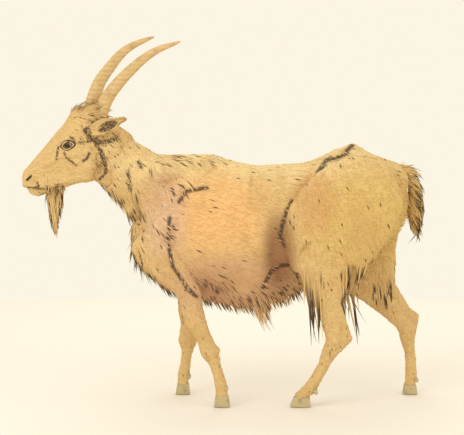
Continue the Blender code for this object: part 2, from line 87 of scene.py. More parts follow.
def add_node(tree, kind, settings=None, inputs=None):
    """Add a node, set its properties, and set or link its inputs by name or index."""
    node = tree.nodes.new(kind)
    for name, value in (settings or {}).items():
        setattr(node, name, value)
    for name, value in (inputs or {}).items():
        if isinstance(value, bpy.types.NodeSocket):
            tree.links.new(value, node.inputs[name])
        else:
            node.inputs[name].default_value = value
    return node


def new_material(name, **constants):
    """Start a node material whose shader has these constant values."""
    material = bpy.data.materials.new(name)
    material.use_nodes = True
    shader = material.node_tree.nodes["Principled BSDF"]
    for socket, value in constants.items():
        shader.inputs[socket.replace("_", " ")].default_value = value
    return material, material.node_tree, shader


def tint(tree, colour, factor, target, strength=1.0):
    """Mix a colour towards a hex target by a factor socket."""
    scaled = add_node(tree, "ShaderNodeMath", {"operation": "MULTIPLY", "use_clamp": True},
                      {0: factor, 1: strength}).outputs[0]
    mix = add_node(tree, "ShaderNodeMix", {"data_type": "RGBA"}, {"Factor": scaled, "A": colour})
    mix.inputs["B"].default_value = srgb(target)
    return mix.outputs["Result"]


def patch(tree, place, centre, reach):
    """A soft round patch: 1 at its centre, 0 at its reach."""
    moved = add_node(tree, "ShaderNodeMapping", {"vector_type": "TEXTURE"},
                     {"Vector": place, "Location": centre, "Scale": reach}).outputs[0]
    ball = add_node(tree, "ShaderNodeTexGradient", {"gradient_type": "SPHERICAL"}, {"Vector": moved})
    return add_node(tree, "ShaderNodeMapRange", {"interpolation_type": "SMOOTHSTEP"},
                    {"Value": ball.outputs["Fac"], "From Max": 0.6}).outputs["Result"]


# Each wash of colour: its shade, its middle, how far it reaches along x, y and z, and its strength.
COAT_PATCHES = [
    # Painted light: the pale wash along the top of the back, where light falls from above.
    (BACK_PAINTED_LIGHT, (0.05, 0, 0.73), (0.60, 0.30, 0.12), 0.8),
    (BARREL_ORANGE, (-0.02, 0, 0.56), (0.22, 0.40, 0.18), 1.0),
    (SHOULDER_MAUVE, (-0.17, 0, 0.56), (0.10, 0.40, 0.20), 0.7),
    # Painted shade: the brown wash under the belly, and the darker brown in the flank hollow ahead of the
    # thigh.
    (BELLY_PAINTED_SHADE, (0.03, 0, 0.36), (0.30, 0.40, 0.14), 0.9),
    (FLANK_PAINTED_SHADE, (0.165, 0, 0.46), (0.075, 0.40, 0.17), 0.8),
    (RUMP_YELLOW, (0.42, 0, 0.55), (0.26, 0.40, 0.22), 0.9),
    (HIP_RUST, (0.275, 0, 0.60), (0.09, 0.40, 0.13), 0.55),
    (THIGH_SHADE, (0.42, 0, 0.50), (0.10, 0.40, 0.10), 0.30),
]


def coat_colour(tree, place):
    """Ochre coat with warm patches, painted light as a pale wash along the top of the back, painted shade as
    brown washes under the belly, in the flank hollow and on the thigh, and a fine uneven wash over all.
    """
    colour = add_node(tree, "ShaderNodeRGB").outputs[0]
    colour.default_value = srgb(HAIR_OCHRE)
    for shade, centre, reach, strength in COAT_PATCHES:
        colour = tint(tree, colour, patch(tree, place, centre, reach), shade, strength)
    blotch = add_node(tree, "ShaderNodeTexNoise", {}, {"Vector": place, "Scale": 9.0, "Detail": 5.0})
    worn = add_node(tree, "ShaderNodeMapRange", {}, {"Value": blotch.outputs["Fac"], "From Min": 0.5,
                                                    "From Max": 0.75}).outputs["Result"]
    return tint(tree, colour, worn, WASH_BROWN, 0.50)


def skin_material():
    """Short hair lying on skin: matt, with the fine streaks of single hairs 3 mm apart."""
    material, tree, shader = new_material("short_goat_hair", Roughness=0.85, Specular_IOR_Level=0.2)
    place = add_node(tree, "ShaderNodeTexCoord").outputs["Object"]
    streak_place = add_node(tree, "ShaderNodeMapping", {}, {"Vector": place, "Rotation": (0, 0.9, 0),
                                                            "Scale": (60, 330, 330)}).outputs[0]
    streaks = add_node(tree, "ShaderNodeTexNoise", {}, {"Vector": streak_place, "Scale": 1.0, "Detail": 3.0})
    colour = coat_colour(tree, place)
    deep = add_node(tree, "ShaderNodeMapRange", {}, {"Value": streaks.outputs["Fac"], "From Min": 0.55,
                                                    "From Max": 0.35}).outputs["Result"]
    colour = tint(tree, colour, deep, STREAK_BROWN, 0.36)
    # Painted shade: the skin is darkened along its marked shade lines, in creases and hollows and along
    # edges.
    fold = add_node(tree, "ShaderNodeAttribute", {"attribute_name": "fold"}).outputs["Fac"]
    colour = tint(tree, colour, fold, HAIR_DARK, 0.9)
    bump = add_node(tree, "ShaderNodeBump", {}, {"Height": streaks.outputs["Fac"], "Strength": 0.5,
                                                 "Distance": 0.003}).outputs[0]
    tree.links.new(colour, shader.inputs["Base Color"])
    tree.links.new(bump, shader.inputs["Normal"])
    return material


def lock_material():
    """Locks of hair: the coat's colour, browner at the root, some locks bleached paler, and some dark towards
    the tip. The dark tips are dark hair, and painted shade where the belly's underside, creases and hollows
    are darkened.
    """
    material, tree, shader = new_material("combed_goat_hair", Roughness=0.7, Specular_IOR_Level=0.25)
    place = add_node(tree, "ShaderNodeTexCoord").outputs["Object"]
    tip = add_node(tree, "ShaderNodeAttribute", {"attribute_name": "tip"}).outputs["Fac"]
    shade = add_node(tree, "ShaderNodeAttribute", {"attribute_name": "shade"}).outputs["Fac"]
    dark = add_node(tree, "ShaderNodeAttribute", {"attribute_name": "dark"}).outputs["Fac"]
    colour = coat_colour(tree, place)
    colour = tint(tree, colour, shade, TIP_STRAW, 0.25)
    root = add_node(tree, "ShaderNodeMapRange", {}, {"Value": tip, "From Min": 0.5, "From Max": 0.0})
    colour = tint(tree, colour, root.outputs["Result"], ROOT_BROWN, 0.30)
    darkened = add_node(tree, "ShaderNodeMapRange", {}, {"Value": tip, "From Min": 0.05, "From Max": 0.45})
    darkened = add_node(tree, "ShaderNodeMath", {"operation": "MULTIPLY"},
                        {0: darkened.outputs["Result"], 1: dark}).outputs[0]
    colour = tint(tree, colour, darkened, HAIR_DARK, 0.95)
    tree.links.new(colour, shader.inputs["Base Color"])
    return material


short_hair = skin_material()
lock_hair = lock_material()


def open_tree(name, inputs):
    """Start a Geometry Nodes tree with a geometry input, these named inputs and a geometry output."""
    tree = bpy.data.node_groups.new(name, "GeometryNodeTree")
    tree.interface.new_socket("Geometry", in_out="INPUT", socket_type="NodeSocketGeometry")
    for label, kind in inputs.items():
        tree.interface.new_socket(label, in_out="INPUT", socket_type="NodeSocket" + kind)
    tree.interface.new_socket("Geometry", in_out="OUTPUT", socket_type="NodeSocketGeometry")
    return tree, add_node(tree, "NodeGroupInput").outputs


def close_tree(tree, geometry, material):
    """End a tree: instances made real, and the material set."""
    real = add_node(tree, "GeometryNodeRealizeInstances", {}, {"Geometry": geometry}).outputs[0]
    finished = add_node(tree, "GeometryNodeSetMaterial", {}, {"Geometry": real, "Material": material})
    add_node(tree, "NodeGroupOutput", {}, {"Geometry": finished.outputs[0]})
    return tree


def set_inputs(modifier, tree, values):
    """Give a Geometry Nodes modifier its tree and its named inputs."""
    modifier.node_group = tree
    for item in tree.interface.items_tree:
        if item.in_out == "INPUT" and item.name in values:
            modifier[item.identifier] = values[item.name]


MATHS, VECTORS, STORE = "ShaderNodeMath", "ShaderNodeVectorMath", "GeometryNodeStoreNamedAttribute"


def lock_tree():
    """Geometry Nodes that plant curved, tapered locks of hair on a surface and comb them."""
    tree, given = open_tree("comb_hair", {"Spacing": "Float", "Width": "Float", "Lift": "Float",
                                          "Unruly": "Float", "Seed": "Int", "Material": "Material"})

    def made(kind, inputs, **settings):
        return add_node(tree, kind, settings, inputs).outputs[0]

    # What the grooming left on the skin: how thick, which way, how loose, how dark and how long.
    thick, comb, loose, ink, length = (
        made("GeometryNodeInputNamedAttribute", {"Name": label}, data_type=kind)
        for label, kind in (("thick", "FLOAT"), ("comb", "FLOAT_VECTOR"), ("loose", "FLOAT"),
                            ("ink", "FLOAT"), ("length", "FLOAT")))
    # Chance gives each lock its shade, its ink, and how much longer and wider it is than its neighbours.
    draws = []
    for step, (low, high) in enumerate(((0.0, 1.0), (0.0, 1.0), (0.65, 1.25), (0.7, 1.3)), start=1):
        seed = made("FunctionNodeIntegerMath", {0: given["Seed"], 1: step}, operation="ADD")
        draws.append(add_node(tree, "FunctionNodeRandomValue", {"data_type": "FLOAT"},
                              {2: low, 3: high, "Seed": seed}).outputs[1])
    shade_draw, ink_draw, length_draw, width_draw = draws

    area = made(MATHS, {0: given["Spacing"], 1: given["Spacing"]}, operation="MULTIPLY")
    density = made(MATHS, {0: 0.9, 1: area}, operation="DIVIDE")
    spread = add_node(tree, "GeometryNodeDistributePointsOnFaces", {"distribute_method": "POISSON"},
                      {"Mesh": given["Geometry"], "Distance Min": given["Spacing"], "Density Max": density,
                       "Density Factor": thick, "Seed": given["Seed"]})

    # The comb strays a little, and is pressed flat to the skin as far as the hair isn't loose.
    normal = spread.outputs["Normal"]
    wander = made("FunctionNodeRandomValue", {0: (-1, -1, -1), 1: (1, 1, 1), "Seed": given["Seed"]},
                  data_type="FLOAT_VECTOR")
    strayed = made(VECTORS, {0: wander, "Scale": given["Unruly"]}, operation="SCALE")
    combed = made(VECTORS, {0: comb, 1: strayed}, operation="ADD")
    outwards = add_node(tree, VECTORS, {"operation": "DOT_PRODUCT"}, {0: combed, 1: normal}).outputs["Value"]
    lifted = made(MATHS, {0: outwards, 1: 0.0}, operation="MAXIMUM")
    kept = made(MATHS, {0: lifted, 1: loose}, operation="MULTIPLY")
    removed = made(MATHS, {0: outwards, 1: kept}, operation="SUBTRACT")
    pushed = made(VECTORS, {0: normal, "Scale": removed}, operation="SCALE")
    along = made(VECTORS, {0: combed, 1: pushed}, operation="SUBTRACT")
    turned = made("FunctionNodeAxesToRotation", {"Primary Axis": along, "Secondary Axis": normal},
                  primary_axis="X", secondary_axis="Z")

    # One lock of unit length: a bowed line with four flat sides that narrows to a point.
    bow = made("ShaderNodeCombineXYZ", {"X": 0.45, "Z": given["Lift"]})
    curve = made("GeometryNodeCurveQuadraticBezier", {"Resolution": 4, "Start": (0, 0, -0.04), "Middle": bow,
                                                      "End": (1, 0, 0)})
    along_lock = made("GeometryNodeSplineParameter", {})
    marked = made(STORE, {"Geometry": curve, "Name": "tip", "Value": along_lock}, data_type="FLOAT",
                  domain="POINT")
    left = made(MATHS, {0: 1.02, 1: along_lock}, operation="SUBTRACT")
    taper = made(MATHS, {0: left, 1: 0.7}, operation="POWER")
    section = made("GeometryNodeCurvePrimitiveCircle", {"Resolution": 4, "Radius": 0.5})
    lock = made("GeometryNodeCurveToMesh", {"Curve": marked, "Profile Curve": section, "Scale": taper,
                                            "Fill Caps": True})

    shaded = made(STORE, {"Geometry": spread.outputs["Points"], "Name": "shade", "Value": shade_draw},
                  data_type="FLOAT", domain="POINT")
    is_dark = made(MATHS, {0: ink_draw, 1: ink}, operation="LESS_THAN")
    inked = made(STORE, {"Geometry": shaded, "Name": "dark", "Value": is_dark}, data_type="FLOAT",
                 domain="POINT")
    long = made(MATHS, {0: length, 1: length_draw}, operation="MULTIPLY")
    wide = made(MATHS, {0: given["Width"], 1: width_draw}, operation="MULTIPLY")
    deep = made(MATHS, {0: wide, 1: 0.6}, operation="MULTIPLY")
    size = made("ShaderNodeCombineXYZ", {"X": long, "Y": wide, "Z": deep})
    planted = made("GeometryNodeInstanceOnPoints", {"Points": inked, "Instance": lock, "Rotation": turned,
                                                    "Scale": size})
    return close_tree(tree, planted, given["Material"])


comb_hair = lock_tree()


def new_object(name, bm_or_mesh, material=None):
    """Link a bmesh or mesh as an object at the origin."""
    mesh = bm_or_mesh
    if isinstance(bm_or_mesh, bmesh.types.BMesh):
        mesh = bpy.data.meshes.new(name)
        bm_or_mesh.to_mesh(mesh)
        bm_or_mesh.free()
    piece = bpy.data.objects.new(name, mesh)
    bpy.context.scene.collection.objects.link(piece)
    if material:
        mesh.materials.clear()
        mesh.materials.append(material)
    return piece


def settle(piece):
    """Apply a piece's modifiers."""
    bpy.context.view_layer.update()
    seen = piece.evaluated_get(bpy.context.evaluated_depsgraph_get())
    mesh = bpy.data.meshes.new_from_object(seen)
    piece.modifiers.clear()
    piece.data = mesh
    return piece


# A painted shade line is fully dark to 0.7 of its width and fades out over the rest, up to 1.7 widths from
# its line.
SHADE_LINE_CORE = 1.7


def paint_shade_lines(skin, lines, width):
    """Paint shade on the skin along lines in the side view: dark in creases and hollows, and along edges
    where the coat lies in shade.
    """
    mesh = skin.data
    spots = numpy.empty(len(mesh.vertices) * 3)
    mesh.vertices.foreach_get("co", spots)
    spots = spots.reshape(-1, 3)[:, [0, 2]]
    depth = numpy.zeros(len(spots))
    for line in lines:
        for start, end in zip(line, line[1:]):
            start, run = numpy.array(start), numpy.array(end) - numpy.array(start)
            along = numpy.clip((spots - start) @ run / (run @ run), 0, 1)
            gap = numpy.linalg.norm(spots - start - along[:, None] * run, axis=1)
            depth = numpy.maximum(depth, numpy.clip((SHADE_LINE_CORE * width - gap) / width, 0, 1))
    if "fold" in mesh.attributes:
        earlier = numpy.empty(len(depth))
        mesh.attributes["fold"].data.foreach_get("value", earlier)
        depth = numpy.maximum(depth, earlier)
        mesh.attributes["fold"].data.foreach_set("value", depth)
    else:
        mesh.attributes.new("fold", "FLOAT", "POINT").data.foreach_set("value", depth)


def lines_from(centre, *lines):
    """Side-view lines given as (x, z) steps from a centre."""
    return [[(centre.x + x, centre.z + z) for x, z in line] for line in lines]


INK = 4
SHADE_LINE_INK = 0.6


def grow_locks(name, skin, grooming, spacing, width, lift, unruly, seed):
    """Plant locks on a skin. grooming gives (comb, length, thick, loose, ink) for each point and normal."""
    mesh = skin.data.copy()
    groomed = [list(grooming(vertex.co, vertex.normal)) for vertex in mesh.vertices]
    # Painted shade lines also darken the locks that grow over them.
    if "fold" in mesh.attributes:
        for row, mark in zip(groomed, mesh.attributes["fold"].data):
            row[INK] = max(row[INK], SHADE_LINE_INK * mark.value)
    combs = [part for row in groomed for part in Vector(row[0]).normalized()]
    mesh.attributes.new("comb", "FLOAT_VECTOR", "POINT").data.foreach_set("vector", combs)
    for column, label in enumerate(("length", "thick", "loose", "ink"), start=1):
        values = [row[column] for row in groomed]
        mesh.attributes.new(label, "FLOAT", "POINT").data.foreach_set("value", values)
    locks = new_object(name, mesh)
    set_inputs(locks.modifiers.new("comb", "NODES"), comb_hair,
               {"Spacing": spacing, "Width": width, "Lift": lift, "Unruly": unruly, "Seed": seed,
                "Material": lock_hair})
    settle(locks)
    return locks


def lump(bm, centre, radii, tilt=0.0):
    """Add an egg-shaped lump, tilted in the side view."""
    shape = Matrix.Translation(centre) @ Matrix.Rotation(tilt, 4, "Y") @ Matrix.Diagonal((*radii, 1))
    bmesh.ops.create_icosphere(bm, subdivisions=3, radius=1, matrix=shape)


def muscle(bm, points, radii, flat=1.0):
    """Add a smooth run of overlapping balls through the points; flat squeezes them sideways."""
    for (a, b), (ra, rb) in zip(zip(points, points[1:]), zip(radii, radii[1:])):
        a, b = Vector(a), Vector(b)
        steps = max(2, int((b - a).length / (0.4 * min(ra, rb))))
        for i in range(steps + 1):
            t = i / steps
            r = ra + (rb - ra) * t
            shape = Matrix.Translation(a.lerp(b, t)) @ Matrix.Diagonal((r, r * flat, r, 1))
            bmesh.ops.create_icosphere(bm, subdivisions=2, radius=1, matrix=shape)


def add_node_copy(bm, node, shift=(0, 0, 0)):
    """Add a copy of a frame node, merged into a closed surface."""
    mesh = frame["nodes"][node].data.copy()
    mesh.transform(Matrix.Translation(shift))
    bm.from_mesh(mesh)
    bmesh.ops.remove_doubles(bm, verts=bm.verts, dist=1e-6)
    bpy.data.meshes.remove(mesh)


def skin_over(name, bm, voxel, smoothing, material=None):
    """Turn a pile of closed forms into one smooth skin."""
    skin = new_object(name, bm, material or short_hair)
    remesh = skin.modifiers.new("remesh", "REMESH")
    remesh.mode = "VOXEL"
    remesh.voxel_size = voxel
    smooth = skin.modifiers.new("smooth", "SMOOTH")
    smooth.factor = 0.5
    smooth.iterations = smoothing
    settle(skin)
    skin.data.shade_smooth()
    skin.data.materials.clear()
    skin.data.materials.append(material or short_hair)
    return skin


def part_of(name, skin, planes):
    """Copy the stretch of a skin that lies behind every (point, direction) plane."""
    bm = bmesh.new()
    bm.from_mesh(skin.data)
    for point, direction in planes:
        bmesh.ops.bisect_plane(bm, geom=bm.verts[:] + bm.edges[:] + bm.faces[:], plane_co=point,
                               plane_no=direction, clear_outer=True)
    piece = new_object(name, bm, skin.data.materials[0])
    piece.data.shade_smooth()
    return piece


def close_ends(piece):
    """Cap the cut ends, which lie against the next piece."""
    bm = bmesh.new()
    bm.from_mesh(piece.data)
    bmesh.ops.holes_fill(bm, edges=[edge for edge in bm.edges if edge.is_boundary])
    bm.to_mesh(piece.data)
    bm.free()
    return piece


def ramp(value, low, high):
    """0 below low, 1 above high, smooth between."""
    t = min(max((value - low) / (high - low), 0.0), 1.0)
    return t * t * (3 - 2 * t)


neck_root, head_joint = joints["neck_pitch"], joints["head_nod"]
neck_way = (head_joint - neck_root).normalized()
MID_NECK = neck_root + neck_way * 0.090
NECK_BASE = neck_root - neck_way * 0.075


def beside(centre, side, *steps):
    """Points given as steps along x, out to one side and up from a centre."""
    return [(centre.x + x, side * y, centre.z + z) for x, y, z in steps]


def trunk_form():
    """The frame's trunk and neck, filled out to a living outline."""
    bm = bmesh.new()
    add_node_copy(bm, "trunk")
    add_node_copy(bm, "neck")
    hip, shoulder = joints["left_hind_hip"], joints["left_fore_shoulder"]
    for side in (-1, 1):
        muscle(bm, beside(shoulder, side, (0.03, 0.060, 0.03), (0.09, 0.058, 0.14), (0.15, 0.040, 0.235)),
               [0.066, 0.062, 0.038])
        muscle(bm, [(neck_root.x, side * 0.030, neck_root.z),
                    (shoulder.x + 0.05, side * 0.056, shoulder.z + 0.08)], [0.062, 0.066])
        lump(bm, (shoulder.x + 0.175, side * 0.050, 0.520), (0.135, 0.088, 0.170))
        lump(bm, (shoulder.x + 0.100, side * 0.030, 0.440), (0.110, 0.085, 0.110))
        lump(bm, (hip.x - 0.245, side * 0.030, 0.515), (0.150, 0.092, 0.165))
        lump(bm, (hip.x - 0.03, side * 0.020, 0.600), (0.165, 0.092, 0.155))
        muscle(bm, [(hip.x - 0.075, side * 0.062, 0.728), (hip.x + 0.10, side * 0.034, 0.668)],
               [0.030, 0.034])
        muscle(bm, [(neck_root.x + 0.035, side * 0.040, 0.690), (neck_root.x + 0.12, side * 0.042, 0.690)],
               [0.040, 0.040])
        lump(bm, (shoulder.x + 0.365, side * 0.052, 0.520), (0.130, 0.076, 0.150))
        lump(bm, (shoulder.x + 0.262, side * 0.052, 0.505), (0.175, 0.096, 0.170))
        muscle(bm, [(hip.x - 0.105, side * 0.066, 0.680), (hip.x - 0.02, side * 0.074, 0.695),
                    (hip.x + 0.070, side * 0.058, 0.665)], [0.040, 0.048, 0.040])
    lump(bm, (neck_root.x + 0.01, 0, neck_root.z - 0.12), (0.055, 0.05, 0.10))
    muscle(bm, [head_joint + Vector((0.009, 0, -0.106)), head_joint + Vector((0.033, 0, -0.131)),
                head_joint + Vector((0.060, 0, -0.158))], [0.036, 0.036, 0.036])
    muscle(bm, [(neck_root.x + 0.03, 0, 0.722), (shoulder.x + 0.17, 0, 0.715), (0.09, 0, 0.690),
                (0.26, 0, 0.700), (hip.x - 0.02, 0, 0.745)], [0.022, 0.028, 0.020, 0.020, 0.024])
    return bm


body_skin = skin_over("body_form", trunk_form(), VOXEL, smoothing=9)
# Painted shade along the creases behind the shoulder and along the shoulder blade, in the flank hollow, along
# the hip and belly, and on the neck.
flank_top = Vector(joints["left_hind_hip"]) + Vector((-0.218, 0, -0.004))
paint_shade_lines(body_skin, lines_from(
    joints["left_fore_shoulder"],
    [(0.058, 0.099), (0.052, 0.024), (0.067, -0.042), (0.112, -0.111), (0.136, -0.132)],
    [(0.085, 0.144), (0.103, 0.174), (0.166, 0.186)]) + lines_from(
    flank_top, [(0.0, 0.0), (-0.016, -0.029), (-0.036, -0.100), (-0.019, -0.130), (0.017, -0.178)],
    [(0.185, 0.163), (0.150, 0.133), (0.105, 0.118), (0.078, 0.082)],
    [(-0.085, -0.255), (-0.061, -0.206), (-0.031, -0.188), (0.005, -0.188), (0.022, -0.227)]) + lines_from(
    neck_root, [(-0.075, 0.162), (-0.049, 0.116), (-0.025, 0.072)],
    [(-0.090, 0.093), (-0.064, 0.062), (-0.056, 0.001)]), 0.0050)


def trunk_grooming(point, normal):
    """Hair on the trunk lies back and down; it hangs long under the chest and belly."""
    below = ramp(-normal.z, 0.15, 0.8)
    chest = ramp(-0.13 - point.x, 0.0, 0.10) * ramp(0.59 - point.z, 0.0, 0.06)
    breast = chest * ramp(-0.225 - point.x, 0.0, 0.03)
    belly = below * ramp(0.45 - point.z, 0.0, 0.1)
    sheath = ramp(0.030 - abs(point.x - 0.103), 0.0, 0.02) * belly
    shaggy = max(belly, chest)
    comb = Vector((0.9 - 0.5 * shaggy - 0.55 * breast, 0, -0.35 - 0.75 * shaggy))
    back = ramp(point.z, 0.66, 0.74)
    rough = noise.noise(point * 14)
    length = 0.017 + 0.012 * belly + 0.030 * chest + 0.045 * sheath + 0.004 * rough
    # The dark locks on the belly's underside are painted shade; those on the chest, breast and back and the
    # rough flecks are dark hair.
    ink = 0.02 + 0.40 * belly + 0.20 * chest + 0.45 * breast + 0.10 * back + 0.25 * max(rough - 0.25, 0)
    return comb, length, 0.8 + 0.2 * shaggy, 0.12 + 0.6 * shaggy, ink


trunk_skin = part_of("trunk_skin", body_skin, [(NECK_BASE, neck_way)])
trunk_coat = grow_locks("trunk_coat", trunk_skin, trunk_grooming, spacing=0.0082, width=0.0050, lift=0.09,
                        unruly=0.16, seed=11)
close_ends(trunk_skin)
for piece in (trunk_skin, trunk_coat):
    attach(piece, "trunk")
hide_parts("trunk")


# ---- The neck ----
# A deep, muscled neck with shaggy hair down the throat. Its skin is stretched over the same muscle as the
# trunk's; it is cut from the trunk's near its root in the chest and ends at mid-neck, where the head's skin
# takes over.
def neck_grooming(point, normal):
    """Hair lies down the neck and hangs from the throat."""
    throat = ramp(-normal.x - 0.6 * normal.z, 0.25, 0.9)
    crest = ramp(normal.z, 0.35, 0.9)
    rough = noise.noise(point * 16)
    comb = Vector((0.62, 0, -0.78)) + Vector((-0.1, 0, -0.5)) * throat
    length = 0.020 + 0.026 * throat + 0.012 * crest + 0.004 * rough
    ink = 0.03 + 0.45 * throat + 0.35 * crest + 0.25 * max(rough - 0.15, 0)
    return comb, length, 1.0, 0.15 + 0.45 * throat, ink


neck_skin = part_of("neck_skin", body_skin, [(NECK_BASE, -neck_way), (MID_NECK, neck_way)])
neck_coat = grow_locks("neck_coat", neck_skin, neck_grooming, spacing=0.0080, width=0.0050, lift=0.10,
                       unruly=0.18, seed=12)
close_ends(neck_skin)
for piece in (neck_skin, neck_coat):
    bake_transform(piece)
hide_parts("neck")
bpy.data.objects.remove(body_skin)


# ---- The legs ----
# Each leg is one skin over muscle, bone ends and tendons, from the shoulder or hip to the hoof. It is cut
# into three stretches, midway down the forearm or gaskin and midway down the cannon, and its thick upper end
# lies against the trunk.
LEG_VOXEL = 0.0045
JOINT_NAMES = {"fore": ("shoulder", "elbow", "knee", "fetlock"), "hind": ("hip", "stifle", "hock", "fetlock")}
FLESH = {"fore": ("upper_arm", "forearm", "cannon"), "hind": ("thigh", "gaskin", "cannon")}


def bone_ways(start, end):
    """Directions down a bone and towards the goat's front from it."""
    down = (end - start).normalized()
    return down, Vector((down.z, 0, -down.x))


def foreleg_form(bm, points, hoof):
    """Muscle of the arm and forearm, the knee's bones, and the tendon behind the cannon."""
    shoulder, elbow, knee, fetlock = points
    arm, arm_front = bone_ways(shoulder, elbow)
    _, fore_front = bone_ways(elbow, knee)
    shank, shank_front = bone_ways(knee, fetlock)
    muscle(bm, [shoulder.lerp(elbow, 0.66) - arm_front * 0.004, elbow + fore_front * 0.008,
                elbow.lerp(knee, 0.3) + fore_front * 0.016], [0.040, 0.036, 0.034], 0.68)
    muscle(bm, [shoulder.lerp(elbow, 0.55) - arm_front * 0.034, elbow - fore_front * 0.012 - arm * 0.012],
           [0.018, 0.016])
    muscle(bm, [elbow.lerp(knee, 0.72) + fore_front * 0.007, knee + fore_front * 0.004,
                knee.lerp(fetlock, 0.3)], [0.0225, 0.0275, 0.0165], 0.9)
    lump(bm, knee, (0.021, 0.0225, 0.021))
    lump(bm, knee - fore_front * 0.016 + shank * 0.004, (0.011, 0.013, 0.016))
    muscle(bm, [knee.lerp(fetlock, 0.2) - shank_front * 0.010, fetlock - shank_front * 0.009],
           [0.0085, 0.0095])
    muscle(bm, [knee.lerp(fetlock, 0.7), fetlock, hoof], [0.0140, 0.0185, 0.0170])


def hindleg_form(bm, points, hoof):
    """Muscle of the thigh and gaskin, the stifle's fold, the point of the hock and its tendons."""
    hip, stifle, hock, fetlock = points
    _, thigh_front = bone_ways(hip, stifle)
    gaskin, gaskin_front = bone_ways(stifle, hock)
    shank, shank_front = bone_ways(hock, fetlock)
    muscle(bm, [hip.lerp(stifle, 0.55) + thigh_front * 0.02, stifle + gaskin_front * 0.004,
                stifle.lerp(hock, 0.36) - gaskin_front * 0.004], [0.075, 0.058, 0.046], 0.48)
    muscle(bm, [stifle - gaskin * 0.045 - gaskin_front * 0.100,
                stifle.lerp(hock, 0.16) - gaskin_front * 0.066,
                stifle.lerp(hock, 0.46) - gaskin_front * 0.032], [0.034, 0.030, 0.020], 0.8)
    muscle(bm, [stifle - gaskin * 0.06 + gaskin_front * 0.072,
                stifle + gaskin_front * 0.042 + gaskin * 0.02,
                stifle.lerp(hock, 0.4) + gaskin_front * 0.026], [0.026, 0.024, 0.018], 0.8)
    point = hock - gaskin_front * 0.016 - shank_front * 0.020 - shank * 0.016
    muscle(bm, [stifle.lerp(hock, 0.5) - gaskin_front * 0.026, point], [0.0125, 0.0115])
    muscle(bm, [point, hock.lerp(fetlock, 0.3) - shank_front * 0.015], [0.0125, 0.0085])
    muscle(bm, [stifle.lerp(hock, 0.78), hock, hock.lerp(fetlock, 0.28)], [0.0235, 0.0275, 0.0165], 0.82)
    lump(bm, hock, (0.022, 0.0225, 0.022))
    muscle(bm, [hock.lerp(fetlock, 0.2) - shank_front * 0.014, fetlock - shank_front * 0.010],
           [0.0085, 0.0095])
    muscle(bm, [hock.lerp(fetlock, 0.75), fetlock, hoof], [0.0145, 0.0185, 0.0175])


def leg_grooming(fore, points):
    """Short hair runs down the leg and thins towards the hoof."""
    top = points[1].z

    def groom(point, normal):
        height = ramp(point.z, 0.06, top)
        rough = noise.noise(point * 18)
        edge = ramp(abs(normal.x), 0.55, 0.95)
        comb = Vector((0.30 * height + 0.05, 0, -1))
        length = 0.010 + 0.007 * height + 0.003 * rough
        ink = 0.03 + 0.14 * edge + 0.25 * max(rough - 0.2, 0)
        breast = max(ramp(-normal.x, 0.2, 0.7), ramp(points[0].x - 0.012 - point.x, 0.0, 0.02))
        breast *= ramp(point.z, 0.35, 0.41) if fore else 0.0
        return comb, length + 0.024 * breast, 0.9, 0.08 + 0.5 * breast, ink + 0.4 * breast

    return groom


def fringe_grooming(points, side):
    """Long hair that hangs from the stifle and from the back of the thigh."""
    stifle = points[1]

    def groom(point, normal):
        rel = point - stifle
        front = ramp(-rel.x, -0.030, 0.0) * ramp(0.055 - abs(rel.z + 0.065), 0.0, 0.03)
        front *= ramp(normal.y * side, -0.1, 0.4)
        rear = ramp(rel.x, 0.045, 0.085) * ramp(0.05 - abs(rel.z + 0.045), 0.0, 0.03)
        thick = max(front, rear)
        length = 0.145 * front + 0.045 * rear + 0.02
        return Vector((0.06, 0, -1)), length, thick, 0.35, 0.62

    return groom


